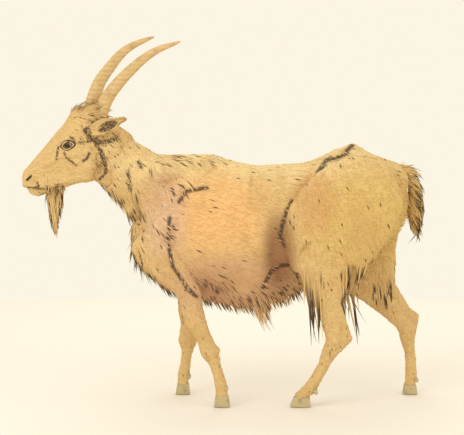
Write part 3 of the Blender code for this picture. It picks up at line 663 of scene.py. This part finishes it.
for leg in ("left_fore", "right_fore", "left_hind", "right_hind"):
    end = leg.split("_")[1]
    side = -1 if leg.startswith("left") else 1
    points = [joints[f"{leg}_{name}"] for name in JOINT_NAMES[end]]
    inner_low, inner_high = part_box(leg + "_inner_claw")
    hoof_top = Vector(((inner_low.x + inner_high.x) / 2, points[3].y, inner_high.z))
    leg_bm = bmesh.new()
    for flesh in FLESH[end] + ("pastern",):
        add_node_copy(leg_bm, f"{leg}_{flesh}")
    inward = 0.024 if end == "hind" else 0.014
    add_node_copy(leg_bm, f"{leg}_{FLESH[end][0]}", (0, -side * inward, 0))
    (foreleg_form if end == "fore" else hindleg_form)(leg_bm, points, hoof_top)
    if leg == "right_hind":
        muscle(leg_bm, [points[1] + Vector((0.095, 0, 0.085)), points[1] + Vector((0.103, 0, 0.016)),
                        points[1] + Vector((0.108, 0, -0.049)), points[2] + Vector((0.006, 0, 0.040))],
               [0.040, 0.033, 0.024, 0.014], 0.8)
    leg_skin = skin_over(leg + "_form", leg_bm, LEG_VOXEL, smoothing=5)
    # Painted shade along the crease behind the shoulder, carried on from the trunk.
    if leg == "left_fore":
        paint_shade_lines(leg_skin, lines_from(points[0], [(0.052, 0.024), (0.067, -0.042), (0.112, -0.111),
                                                    (0.136, -0.132)]), 0.005)

    lower_way, shank_way = (points[2] - points[1]).normalized(), (points[3] - points[2]).normalized()
    mid_lower, mid_shank = points[1].lerp(points[2], 0.5), points[2].lerp(points[3], 0.5)
    stretches = [("upper", "lower", [(mid_lower, lower_way)]),
                 ("lower", "shank", [(mid_lower, -lower_way), (mid_shank, shank_way)]),
                 ("shank", "foot", [(mid_shank, -shank_way)])]
    for number, (above, below, planes) in enumerate(stretches):
        way = (points[number + 1] - points[number]).normalized()
        if number < 2:
            way = (way + (points[number + 2] - points[number + 1]).normalized()).normalized()
        skin = part_of(f"{leg}_{above}_skin", leg_skin, planes)
        spacing, width = (0.0080, 0.0048) if number == 0 else (0.0062, 0.0036)
        coats = [grow_locks(f"{leg}_{above}_coat", skin, leg_grooming(end == "fore", points), spacing, width,
                            lift=0.09, unruly=0.16, seed=20 + number)]
        if number == 0 and end == "hind":
            coats.append(grow_locks(leg + "_fringe", skin, fringe_grooming(points, side), spacing=0.010,
                                    width=0.008, lift=0.05, unruly=0.10, seed=31))
        close_ends(skin)
        for piece in [skin] + coats:
            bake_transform(piece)
        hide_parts(f"{leg}_{(FLESH[end] + ('pastern',))[number]}")
        if number == 2:
            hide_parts(f"{leg}_pastern")
    bpy.data.objects.remove(leg_skin)


# ---- The hooves ----
# Two claws of horn on each foot, worn flat below, with growth rings under the coronet, and two small dewclaws
# behind the fetlock that never touch the ground.
def horn_material(name, pale, deep, ring_scale, ring_strength):
    """Keratin: dull and dense, pale, with fine rings of growth across it and darker worn marks."""
    material, tree, shader = new_material(name, Roughness=0.45, IOR=1.54, Subsurface_Weight=0.05)
    place = add_node(tree, "ShaderNodeTexCoord").outputs["Object"]
    rings = add_node(tree, "ShaderNodeTexWave", {"bands_direction": "Z"},
                     {"Vector": place, "Scale": ring_scale, "Distortion": 2.0, "Detail": 3.0,
                      "Detail Scale": 2.0})
    grime = add_node(tree, "ShaderNodeTexNoise", {}, {"Vector": place, "Scale": 45.0, "Detail": 4.0})
    colour = add_node(tree, "ShaderNodeRGB").outputs[0]
    colour.default_value = srgb(pale)
    colour = tint(tree, colour, rings.outputs["Fac"], deep, ring_strength)
    worn = add_node(tree, "ShaderNodeMapRange", {}, {"Value": grime.outputs["Fac"], "From Min": 0.5,
                                                    "From Max": 0.7})
    colour = tint(tree, colour, worn.outputs["Result"], deep, 0.6)
    bump = add_node(tree, "ShaderNodeBump", {}, {"Height": rings.outputs["Fac"], "Strength": 0.4,
                                                 "Distance": 0.0008}).outputs[0]
    tree.links.new(colour, shader.inputs["Base Color"])
    tree.links.new(bump, shader.inputs["Normal"])
    return material


hoof_horn = horn_material("hoof_horn", "c8b88a", "857450", ring_scale=60.0, ring_strength=0.3)
for leg in ("left_fore", "right_fore", "left_hind", "right_hind"):
    for claw in ("inner", "outer"):
        claw_bm = bmesh.new()
        add_node_copy(claw_bm, f"{leg}_{claw}_claw")
        hoof = skin_over(f"{leg}_{claw}_hoof", claw_bm, voxel=0.0022, smoothing=4, material=hoof_horn)
        for vertex in hoof.data.vertices:
            vertex.co.z = 0.0 if vertex.co.z < 0.0025 else vertex.co.z
        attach(hoof, leg + "_foot")
        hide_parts(f"{leg}_{claw}_claw")
    fetlock = joints[leg + "_fetlock"]
    dewclaw_bm = bmesh.new()
    for across in (-0.0105, 0.0105):
        lump(dewclaw_bm, fetlock + Vector((0.0160, across, -0.0110)), (0.0068, 0.0060, 0.0088), -0.4)
    dewclaws = skin_over(leg + "_dewclaws", dewclaw_bm, voxel=0.0018, smoothing=3, material=hoof_horn)
    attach(dewclaws, leg + "_foot")


# ---- The head ----
# A long wedge of a face with a straight nose, heavy cheeks, brows over the eyes and a tuft between the horns,
# in one skin with the upper neck, which turns behind the cheeks.
ear_root = Vector(joints["left_ear_swing"])
jaw_joint = joints["jaw_open"]
eye_low, eye_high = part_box("left_eye")
eye = (eye_low + eye_high) / 2
head_low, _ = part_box("head")


def head_form():
    """Skull, cheeks and muzzle, with the upper neck behind them."""
    bm = bmesh.new()
    add_node_copy(bm, "head")
    add_node_copy(bm, "neck")
    muscle(bm, [head_joint + Vector((-0.045, 0, 0.000)), head_joint + Vector((0.008, 0, -0.020)),
                head_joint + Vector((0.030, 0, -0.040)), MID_NECK], [0.050, 0.054, 0.062, 0.070], 0.62)
    muscle(bm, [(jaw_joint.x + 0.018, 0, jaw_joint.z - 0.050),
                (jaw_joint.x + 0.048, 0, jaw_joint.z - 0.064),
                (jaw_joint.x + 0.074, 0, jaw_joint.z - 0.082)], [0.022, 0.024, 0.024])
    muscle(bm, [(head_low.x + 0.034, 0, 0.696), (head_low.x + 0.112, 0, 0.784), (-0.425, 0, 0.862)],
           [0.013, 0.016, 0.026])
    muscle(bm, [head_joint + Vector((-0.050, 0, 0.080)), head_joint + Vector((-0.010, 0, 0.045)),
                head_joint + Vector((0.036, 0, 0.014))], [0.036, 0.033, 0.033], 0.8)
    lump(bm, (head_low.x + 0.170, 0, 0.866), (0.024, 0.026, 0.018))
    lump(bm, (head_low.x + 0.017, 0, 0.663), (0.017, 0.020, 0.012))
    for side in (-1, 1):
        muscle(bm, beside(jaw_joint, side, (-0.006, 0.022, 0), (0.012, 0.036, -0.035),
                          (0.010, 0.033, -0.060)), [0.024, 0.024, 0.018])
        muscle(bm, [(jaw_joint.x + 0.010, side * 0.034, 0.678), (jaw_joint.x - 0.035, side * 0.037, 0.672),
                    (jaw_joint.x - 0.085, side * 0.037, 0.658), (head_low.x + 0.062, side * 0.032, 0.652)],
               [0.017, 0.016, 0.013, 0.010])
        muscle(bm, [(jaw_joint.x - 0.006, side * 0.036, 0.690), (jaw_joint.x - 0.046, side * 0.037, 0.688),
                    (jaw_joint.x - 0.090, side * 0.035, 0.673), (head_low.x + 0.055, side * 0.030, 0.664)],
               [0.015, 0.014, 0.012, 0.010])
        muscle(bm, [(head_low.x + 0.010, side * 0.014, 0.652), (head_low.x + 0.034, side * 0.026, 0.650),
                    (head_low.x + 0.060, side * 0.031, 0.652)], [0.0085, 0.008, 0.008])
        lump(bm, (head_joint.x, side * 0.034, head_joint.z), (0.030, 0.013, 0.030))
        muscle(bm, beside(eye, side, (-0.022, 0.041, 0.012), (0.004, 0.046, 0.020), (0.030, 0.046, 0.012)),
               [0.007, 0.009, 0.008])
        muscle(bm, beside(eye, side, (-0.075, 0.029, -0.062), (-0.02, 0.042, -0.032),
                          (0.03, 0.050, -0.024)), [0.008, 0.009, 0.010])
        lump(bm, (head_low.x + 0.020, side * 0.014, 0.668), (0.018, 0.013, 0.013))
        lump(bm, (ear_root.x, side * 0.046, ear_root.z), (0.022, 0.013, 0.020))
        lump(bm, (ear_root.x + 0.005, side * 0.028, ear_root.z + 0.05), (0.030, 0.022, 0.030))
    return bm


head_form_skin = skin_over("head_form", head_form(), FINE_VOXEL, smoothing=4)
# Painted shade in the creases behind the cheek and along the jaw, round the eye, along the mouth and under
# the ear.
paint_shade_lines(head_form_skin, lines_from(
    jaw_joint, [(0.031, 0.039), (0.051, 0.011), (0.060, -0.022), (0.062, -0.053), (0.042, -0.074)],
    [(0.028, 0.042), (0.045, 0.015), (0.055, -0.020), (0.060, -0.050)],
    [(0.014, 0.004), (0.0075, -0.011), (-0.004, -0.018)]), 0.0038)
eye_lines = lines_from(
    eye, [(-0.0096, -0.021), (-0.0024, -0.038), (0.012, -0.048), (0.025, -0.059)],
    [(-0.027, -0.0035), (-0.031, -0.0206), (-0.0327, -0.0407)],
    [(0.009, 0.024), (0.0177, 0.021), (0.0234, 0.0095)],
    [(0.034, 0.009), (0.060, 0.011), (0.081, 0.0166)])
paint_shade_lines(head_form_skin, eye_lines, 0.0026)
paint_shade_lines(head_form_skin, lines_from(
    Vector((head_low.x, 0, 0.646)), [(0.003, 0.000), (0.010, -0.005), (0.022, -0.002), (0.039, -0.003),
                                     (0.055, 0.003), (0.050, 0.014)]), 0.0026)
paint_shade_lines(head_form_skin, lines_from(
    ear_root, [(-0.018, 0.003), (-0.001, -0.019), (0.022, -0.033), (0.051, -0.031), (0.073, -0.019)],
    [(-0.018, 0.003), (0.002, 0.012), (0.022, 0.026), (0.033, 0.035)]), 0.0060)


def head_grooming(point, normal):
    """Fine hair lies back from the nose; it is longer on the poll and round the ears."""
    face = ramp(-0.40 - point.x, 0.0, 0.12)
    poll = ramp(point.z, 0.835, 0.875) * ramp(point.x + 0.49, 0.0, 0.05)
    from_ear = Vector((point.x, 0, point.z)) - Vector((ear_root.x + 0.01, 0, ear_root.z))
    ears = ramp(0.06 - from_ear.length, 0, 0.03)
    neck = ramp(point.x, -0.36, -0.32)
    cheek_edge = ramp(0.014 - abs(point.x - jaw_joint.x - 0.036), 0.0, 0.01) * ramp(0.80 - point.z, 0.0, 0.02)
    comb = Vector((0.8, 0, 0.25)).lerp(Vector((0.62, 0, -0.78)), max(neck, 1 - face))
    comb = comb.lerp(Vector((0.55, 0, 0.75)), poll * 0.8)
    length = 0.008 + 0.024 * poll + 0.010 * ears + 0.012 * neck
    clear = ramp((point - Vector((eye.x, point.y, eye.z))).length, 0.019, 0.026)
    nose = ramp(point.x, head_low.x + 0.012, head_low.x + 0.03)
    # The dark locks along the cheek's rear edge and round the ear roots are painted shade, in the crease and
    # under the ears; those on the poll, neck and throat are dark hair.
    ink = 0.02 + 0.45 * poll + 0.75 * ears + 0.4 * cheek_edge + 0.12 * neck
    throat = ramp(-normal.z, 0.2, 0.7) * ramp(point.x + 0.385, 0.0, 0.02)
    whiskers = ramp(0.036 - abs(point.x + 0.502), 0.0, 0.012) * ramp(0.676 - point.z, 0.0, 0.008)
    hanging = max(throat, whiskers)
    comb = comb.lerp(Vector((0.20, 0, -1)), hanging)
    length += 0.022 * throat + 0.026 * whiskers
    return comb, length, clear * nose, 0.12 + 0.4 * max(poll, throat), ink + 0.5 * hanging


head_skin = part_of("head_skin", head_form_skin, [(MID_NECK, -neck_way)])
head_coat = grow_locks("head_coat", head_skin, head_grooming, spacing=0.0056, width=0.0032, lift=0.09,
                       unruly=0.16, seed=41)
close_ends(head_skin)
for piece in (head_skin, head_coat):
    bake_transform(piece)
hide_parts("head")
bpy.data.objects.remove(head_form_skin)


# ---- The lower jaw ----
# A slim jaw with a soft chin, hinged inside the cheeks. It is a closed form of flesh under the same short
# hair as the cheeks, and it carries the beard.
def wear(skin, coat, body, node):
    """Let a skin and its coat ride on one body and stand for its frame node."""
    for piece in (skin, coat):
        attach(piece, body)
    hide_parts(node)


def jaw_grooming(point, normal):
    """Short hair that lies back along the jaw; the lip's front edge is bare."""
    return Vector((0.85, 0, -0.3)), 0.010, ramp(point.x, head_low.x + 0.02, head_low.x + 0.04), 0.1, 0.05


jaw_bm = bmesh.new()
add_node_copy(jaw_bm, "lower_jaw")
lump(jaw_bm, (head_low.x + 0.046, 0, 0.632), (0.026, 0.020, 0.013))
lump(jaw_bm, (head_low.x + 0.034, 0, 0.645), (0.021, 0.021, 0.009))
jaw_skin = skin_over("jaw_skin", jaw_bm, voxel=0.0028, smoothing=3)
jaw_coat = grow_locks("jaw_coat", jaw_skin, jaw_grooming, spacing=0.0062, width=0.0036, lift=0.12, unruly=0.2,
                      seed=42)
wear(jaw_skin, jaw_coat, "jaw", "lower_jaw")


# ---- The beard ----
# A long tuft from the chin that narrows to a point, ochre inside and dark along its edges, where the darkness
# is painted shade as the tuft turns away. Long, straight locks grow from a closed core and shorten towards
# the point.
def beard_grooming(point, normal):
    """Straight hair that shortens and darkens towards the beard's point and edges, the darkening painted
    shade.
    """
    length = 0.024 + 0.024 * ramp(point.z, 0.52, 0.58)
    return Vector((0.12, 0, -1)), length, 1.0, 0.2, 0.32 + 0.66 * ramp(abs(normal.x), 0.25, 0.6)


beard_bm = bmesh.new()
add_node_copy(beard_bm, "beard")
beard_core = skin_over("beard_core", beard_bm, voxel=0.003, smoothing=3)
beard_low, beard_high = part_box("beard")
# Painted shade along the beard's front and rear edges.
paint_shade_lines(beard_core, lines_from(
    Vector((beard_low.x, 0, beard_low.z)), [(0.002, 0.110), (0.010, 0.060), (0.024, 0.004)],
    [(beard_high.x - beard_low.x, 0.125), (0.044, 0.090), (0.034, 0.040)]), 0.0042)
beard_hair = grow_locks("beard_hair", beard_core, beard_grooming, spacing=0.0062, width=0.0050, lift=0.05,
                        unruly=0.10, seed=51)
wear(beard_core, beard_hair, "jaw", "beard")


# ---- The tail ----
# A short dock under long hair that hangs behind the rump, darkest along its outer edge. The hair grows from
# a closed core, combed back over the dock and then down.
tail_joint = joints["tail_swing"]


def tail_grooming(point, normal):
    """Long hair that lies back over the dock and then falls, dark along the outer edge."""
    rel = point - tail_joint
    hanging = ramp(rel.x, 0.02, 0.07)
    comb = Vector((1, 0, -0.45)).lerp(Vector((-0.05, 0, -1)), hanging)
    return comb, 0.042, 1.0, 0.05, 0.36 + 0.6 * ramp(normal.x, 0.2, 0.7)


tail_bm = bmesh.new()
add_node_copy(tail_bm, "tail")
lump(tail_bm, tail_joint + Vector((0.02, 0, 0.0)), (0.030, 0.022, 0.020), 0.4)
tail_core = skin_over("tail_core", tail_bm, voxel=0.004, smoothing=4)
tail_hair = grow_locks("tail_hair", tail_core, tail_grooming, spacing=0.0070, width=0.0056, lift=0.06,
                       unruly=0.09, seed=52)
wear(tail_core, tail_hair, "tail", "tail")


# ---- The ears ----
# Leaf-shaped ears that lie back from the head, short-haired outside, with longer hair in the hollow, darkened
# there with painted shade, and dark hair at the tip.
EAR_WAY = Vector((0.92, 0, 0.39))


def inside_ear(point):
    """1 deep in the ear's hollow, 0 at its rim."""
    rel = point - ear_middle
    along = rel.dot(EAR_WAY)
    across = rel.dot(Vector((-EAR_WAY.z, 0, EAR_WAY.x)))
    return ramp(0.0170 - math.hypot(along / 2.2, across), 0.0, 0.006)


def ear_grooming(side):
    """Hair lies towards the ear's tip; it is longer in the hollow and darker there with painted shade, and
    dark at the tip and top edge.
    """
    def groom(point, normal):
        hollow = ramp(normal.y * side, 0.1, 0.6) * inside_ear(point)
        tip = ramp((point - ear_middle).dot(EAR_WAY), 0.018, 0.032)
        edge = max(tip, ramp(normal.z, 0.6, 0.95))
        dark = max(hollow, edge)
        return EAR_WAY, 0.006 + 0.008 * hollow, 0.5 + 0.5 * dark, 0.06, 0.05 + 0.9 * dark

    return groom


for word, side in (("left", -1), ("right", 1)):
    ear_low, ear_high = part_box(word + "_ear")
    ear_middle = (ear_low + ear_high) / 2 + Vector((0.004, 0, 0))
    ear_bm = bmesh.new()
    add_node_copy(ear_bm, word + "_ear")
    ear_skin = skin_over(word + "_ear_skin", ear_bm, voxel=0.0014, smoothing=3)
    # Painted shade: the skin is darkened in the ear's hollow.
    hollow = [ramp(vertex.normal.y * side, 0.05, 0.5) * inside_ear(vertex.co)
              for vertex in ear_skin.data.vertices]
    ear_skin.data.attributes.new("fold", "FLOAT", "POINT").data.foreach_set("value", hollow)
    ear_coat = grow_locks(word + "_ear_coat", ear_skin, ear_grooming(side), spacing=0.0056, width=0.0034,
                          lift=0.12, unruly=0.25, seed=61)
    wear(ear_skin, ear_coat, word + "_ear", word + "_ear")


# ---- The horns ----
# Long backswept horns, ringed like keratin grows, wide at the brow and thinning to a point. Each is one swept
# sheath of horn, fixed to the skull.
def horn_tree():
    """Geometry Nodes that sweep an oval along a horn's line, with rings that fade out towards the tip."""
    tree, given = open_tree("ringed_horn", {"Base Radius": "Float", "Ring Spacing": "Float",
                                            "Ring Height": "Float", "Material": "Material"})

    def made(kind, inputs, **settings):
        return add_node(tree, kind, settings, inputs).outputs[0]

    path = made("GeometryNodeResampleCurve", {"Curve": given["Geometry"], "Count": 150})
    spline = add_node(tree, "GeometryNodeSplineParameter").outputs
    left = made(MATHS, {0: 1.0, 1: spline["Factor"]}, operation="SUBTRACT")
    narrowed = made(MATHS, {0: left, 1: 0.5}, operation="POWER")
    taper = made(MATHS, {0: narrowed, 1: given["Base Radius"]}, operation="MULTIPLY")
    rings_passed = made(MATHS, {0: spline["Length"], 1: given["Ring Spacing"]}, operation="DIVIDE")
    angle = made(MATHS, {0: rings_passed, 1: 2 * math.pi}, operation="MULTIPLY")
    ripple = made(MATHS, {0: angle}, operation="SINE")
    height = made(MATHS, {0: ripple, 1: given["Ring Height"]}, operation="MULTIPLY")
    fading = made(MATHS, {0: left, 1: 1.5}, operation="POWER")
    rings = made(MATHS, {0: height, 1: fading}, operation="MULTIPLY")
    ringed = made(MATHS, {0: taper, 1: rings}, operation="ADD")
    radius = made(MATHS, {0: ringed, 1: 0.0008}, operation="MAXIMUM")
    circle = made("GeometryNodeCurvePrimitiveCircle", {"Resolution": 24, "Radius": 1.0})
    oval = made("GeometryNodeTransform", {"Geometry": circle, "Scale": (0.74, 1.0, 1.0)})
    swept = made("GeometryNodeCurveToMesh", {"Curve": path, "Profile Curve": oval, "Scale": radius,
                                             "Fill Caps": True})
    smooth = made("GeometryNodeSetShadeSmooth", {"Geometry": swept})
    return close_tree(tree, smooth, given["Material"])


ringed_horn = horn_tree()
brow_horn = horn_material("ringed_brow_horn", "d6b67c", "a98a5c", ring_scale=22.0, ring_strength=0.30)
# The horn's line from its root, as fractions of the frame horn's box: along, outwards, up.
HORN_LINES = {
    "left": [(0.07, 0.20, 0.07), (0.12, 0.22, 0.16), (0.19, 0.28, 0.32), (0.30, 0.38, 0.48),
             (0.41, 0.49, 0.61), (0.62, 0.72, 0.81), (0.76, 0.84, 0.90), (0.90, 0.94, 0.955),
             (0.995, 0.985, 0.993)],
    "right": [(0.10, 0.20, 0.05), (0.13, 0.22, 0.14), (0.17, 0.27, 0.26), (0.23, 0.37, 0.40),
              (0.37, 0.54, 0.59), (0.52, 0.70, 0.76), (0.64, 0.80, 0.85), (0.79, 0.90, 0.92),
              (0.995, 0.985, 0.993)],
}
for word, side in (("left", -1), ("right", 1)):
    low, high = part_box(word + "_horn")
    root_y, tip_y = (high.y, low.y) if side < 0 else (low.y, high.y)
    spline_data = bpy.data.curves.new(word + "_horn_line", "CURVE")
    spline_data.dimensions = "3D"
    spline_data.resolution_u = 12
    line = spline_data.splines.new("BEZIER")
    line.bezier_points.add(len(HORN_LINES[word]) - 1)
    for knot, (along, outward, up) in zip(line.bezier_points, HORN_LINES[word]):
        knot.co = (low.x + along * (high.x - low.x), root_y + outward * (tip_y - root_y),
                   low.z + up * (high.z - low.z))
        knot.handle_left_type = knot.handle_right_type = "AUTO"
    horn = new_object(word + "_horn_sheath", spline_data)
    set_inputs(horn.modifiers.new("sweep", "NODES"), ringed_horn,
               {"Base Radius": 0.0225, "Ring Spacing": 0.0125, "Ring Height": 0.0006, "Material": brow_horn})
    bpy.context.view_layer.update()
    swept_mesh = bpy.data.meshes.new_from_object(horn.evaluated_get(bpy.context.evaluated_depsgraph_get()))
    bpy.data.objects.remove(horn)
    horn = new_object(word + "_horn_sheath", swept_mesh)
    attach(horn, "head")
    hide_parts(word + "_horn")


# ---- The eyes ----
# Glass eyes with a brown iris and a level slot of a pupil, set between a heavy upper lid and a thin lower
# one, with dark bare rims along both.
def eye_material(name, centre):
    """Glass over a painted iris: glossy, pale at the corners, brown, with a dark level pupil."""
    material, tree, shader = new_material(name, Roughness=0.12, IOR=1.42)
    place = add_node(tree, "ShaderNodeTexCoord").outputs["Object"]

    def disc(reach):
        moved = add_node(tree, "ShaderNodeMapping", {"vector_type": "TEXTURE"},
                         {"Vector": place, "Location": centre, "Scale": reach}).outputs[0]
        ball = add_node(tree, "ShaderNodeTexGradient", {"gradient_type": "SPHERICAL"}, {"Vector": moved})
        edge = add_node(tree, "ShaderNodeMapRange", {}, {"Value": ball.outputs["Fac"], "From Max": 0.12})
        return edge.outputs[0]

    colour = add_node(tree, "ShaderNodeRGB").outputs[0]
    colour.default_value = srgb("e0d4b4")
    colour = tint(tree, colour, disc((0.0098, 0.05, 0.0098)), "7a5630")
    colour = tint(tree, colour, disc((0.0082, 0.05, 0.0044)), "0d0b09")
    tree.links.new(colour, shader.inputs["Base Color"])
    return material


def mottled_material(name, base, mark, scale, detail=2.0, stretch=(1, 1, 1), **constants):
    """A finish whose base colour is broken by fine, soft marks."""
    material, tree, shader = new_material(name, **constants)
    place = add_node(tree, "ShaderNodeTexCoord").outputs["Object"]
    stretched = add_node(tree, "ShaderNodeMapping", {}, {"Vector": place, "Scale": stretch}).outputs[0]
    marks = add_node(tree, "ShaderNodeTexNoise", {}, {"Vector": stretched, "Scale": scale, "Detail": detail})
    colour = add_node(tree, "ShaderNodeRGB").outputs[0]
    colour.default_value = srgb(base)
    tree.links.new(tint(tree, colour, marks.outputs["Fac"], mark), shader.inputs["Base Color"])
    return material


# Bare eyelid skin: dark, dull and slightly moist, with creases about 5 mm apart, so the eye has a drawn edge.
lid_material = mottled_material("eyelid_skin", "4a382a", "2a201a", 220.0, Roughness=0.6)

LID_KNOTS = 17
for word, side in (("left", -1), ("right", 1)):
    low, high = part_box(word + "_eye")
    centre = (low + high) / 2
    radius = (high.z - low.z) / 2
    ball_bm = bmesh.new()
    bmesh.ops.create_uvsphere(ball_bm, u_segments=40, v_segments=24, radius=radius,
                              matrix=Matrix.Translation(centre) @ Matrix.Rotation(math.pi / 2, 4, "X"))
    eyeball = new_object(word + "_eyeball", ball_bm, eye_material(word + "_eye_glass", centre))
    eyeball.data.shade_smooth()
    lids_bm, rims_bm = bmesh.new(), bmesh.new()
    for height in (0.0118, -0.0098):
        for opening, thick, proud, lid_bm in ((1.0, 0.0034, 0.0, lids_bm), (1.24, 0.0026, 0.0005, rims_bm),
                                              (0.80, 0.0014, 0.0028, rims_bm)):
            line = []
            for step in range(LID_KNOTS):
                across = 2 * step / (LID_KNOTS - 1) - 1
                x = centre.x + 0.0015 + 0.0178 * across * opening
                z = centre.z + height * opening * (1 - across * across) + 0.0030 * across
                _, spot, _, _ = head_skin.ray_cast(Vector((x, side * 0.2, z)), Vector((0, -side, 0)))
                ball = math.sqrt(max(radius ** 2 - (x - centre.x) ** 2 - (z - centre.z) ** 2, 0))
                line.append((x, side * (max(abs(spot.y), abs(centre.y) + ball) + proud), z))
            muscle(lid_bm, line, [thick] * LID_KNOTS)
    lids = skin_over(word + "_eyelids", lids_bm, voxel=0.0012, smoothing=3)
    rims = skin_over(word + "_eye_rims", rims_bm, voxel=0.0007, smoothing=1, material=lid_material)
    for piece in (eyeball, lids, rims):
        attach(piece, "head")
    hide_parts(word + "_eye")


# ---- The nostrils ----
# Dark slits at the end of the muzzle, one on each side, pressed a little into the hair: solid forms whose
# dark colour is painted shade standing in for the nostril openings. They are the same dull skin as the
# eyelids.
for word, side in (("left", -1), ("right", 1)):
    slit_bm = bmesh.new()
    muscle(slit_bm, [(head_low.x + 0.008, side * 0.0150, 0.6655), (head_low.x + 0.020, side * 0.0250, 0.6680),
                     (head_low.x + 0.031, side * 0.0290, 0.6790)], [0.0036, 0.0042, 0.0030])
    slit = skin_over(word + "_nostril", slit_bm, voxel=0.0010, smoothing=3, material=lid_material)
    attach(slit, "head")


# ---- The bones and rods ----
# Turned wooden bones with knuckles and forked ends, and drawn steel rods across the body, which carry the
# figure inside its skin.
BONES = ("humerus", "radius", "metacarpus", "femur", "tibia", "metatarsus")
# Turned beech: pale and close, with grain 10 mm wide that runs ten times as long down the bone.
wood_material = mottled_material("turned_beech", "d0ab7a", "a67c4d", 1.0, 4.0, (90, 90, 9), Roughness=0.5)
# Drawn steel bar: a grey sheen with faint marks 3 mm apart from the die.
steel_material = mottled_material("drawn_steel", "a5a5a5", "7e7e7e", 300.0, Metallic=1.0, Roughness=0.35)
for node, thing in frame["nodes"].items():
    if node.endswith(BONES + ("_rod",)):
        thing.data.materials.clear()
        thing.data.materials.append(steel_material if node.endswith("_rod") else wood_material)


# ---- The camera, lights and floor ----
# A long lens at the goat's left side, a broad soft key light from the upper left, a weak fill and a rim
# light, and a pale floor under a pale, evenly lit backdrop.
VIEW_WIDTH = 1.392
LENS = 120.0
AIM = Vector((0.028, 0.0, 0.553))
ELEVATION = math.radians(4.0)

camera_data = bpy.data.cameras.new("camera")
camera_data.lens = LENS
camera = bpy.data.objects.new("camera", camera_data)
distance = VIEW_WIDTH * LENS / camera_data.sensor_width
camera.location = AIM + Vector((0, -math.cos(ELEVATION), math.sin(ELEVATION))) * distance
camera.rotation_euler = (math.pi / 2 - ELEVATION, 0, 0)
bpy.context.scene.collection.objects.link(camera)
bpy.context.scene.camera = camera

for name, place, size, power in (("key", (-1.6, -2.6, 2.6), 2.2, 34.0), ("fill", (2.2, -2.2, 1.4), 2.5, 8.0),
                                 ("rim", (0.4, 2.4, 2.4), 2.0, 14.0)):
    light_data = bpy.data.lights.new(name, "AREA")
    light_data.size = size
    light_data.energy = power
    light = bpy.data.objects.new(name, light_data)
    light.location = place
    light.rotation_euler = (Vector((0, 0, 0.5)) - Vector(place)).to_track_quat("-Z", "Y").to_euler()
    bpy.context.scene.collection.objects.link(light)

world = bpy.data.worlds.new("studio")
world.use_nodes = True
background = world.node_tree.nodes["Background"]
background.inputs["Color"].default_value = srgb("fff8e6")
background.inputs["Strength"].default_value = 0.97
bpy.context.scene.world = world
bpy.context.scene.view_settings.view_transform = "Standard"

FLOOR_RADIUS = 2.6
floor_bm = bmesh.new()
bmesh.ops.create_circle(floor_bm, cap_ends=True, segments=64, radius=FLOOR_RADIUS)
# Matt painted board: it takes soft shadows and shows no gloss.
floor_material, _, floor_shader = new_material("pale_floor", Roughness=0.9)
floor_shader.inputs["Base Color"].default_value = srgb("f3eee6")
floor = new_object("floor", floor_bm, floor_material)
floor.location.z = -0.001
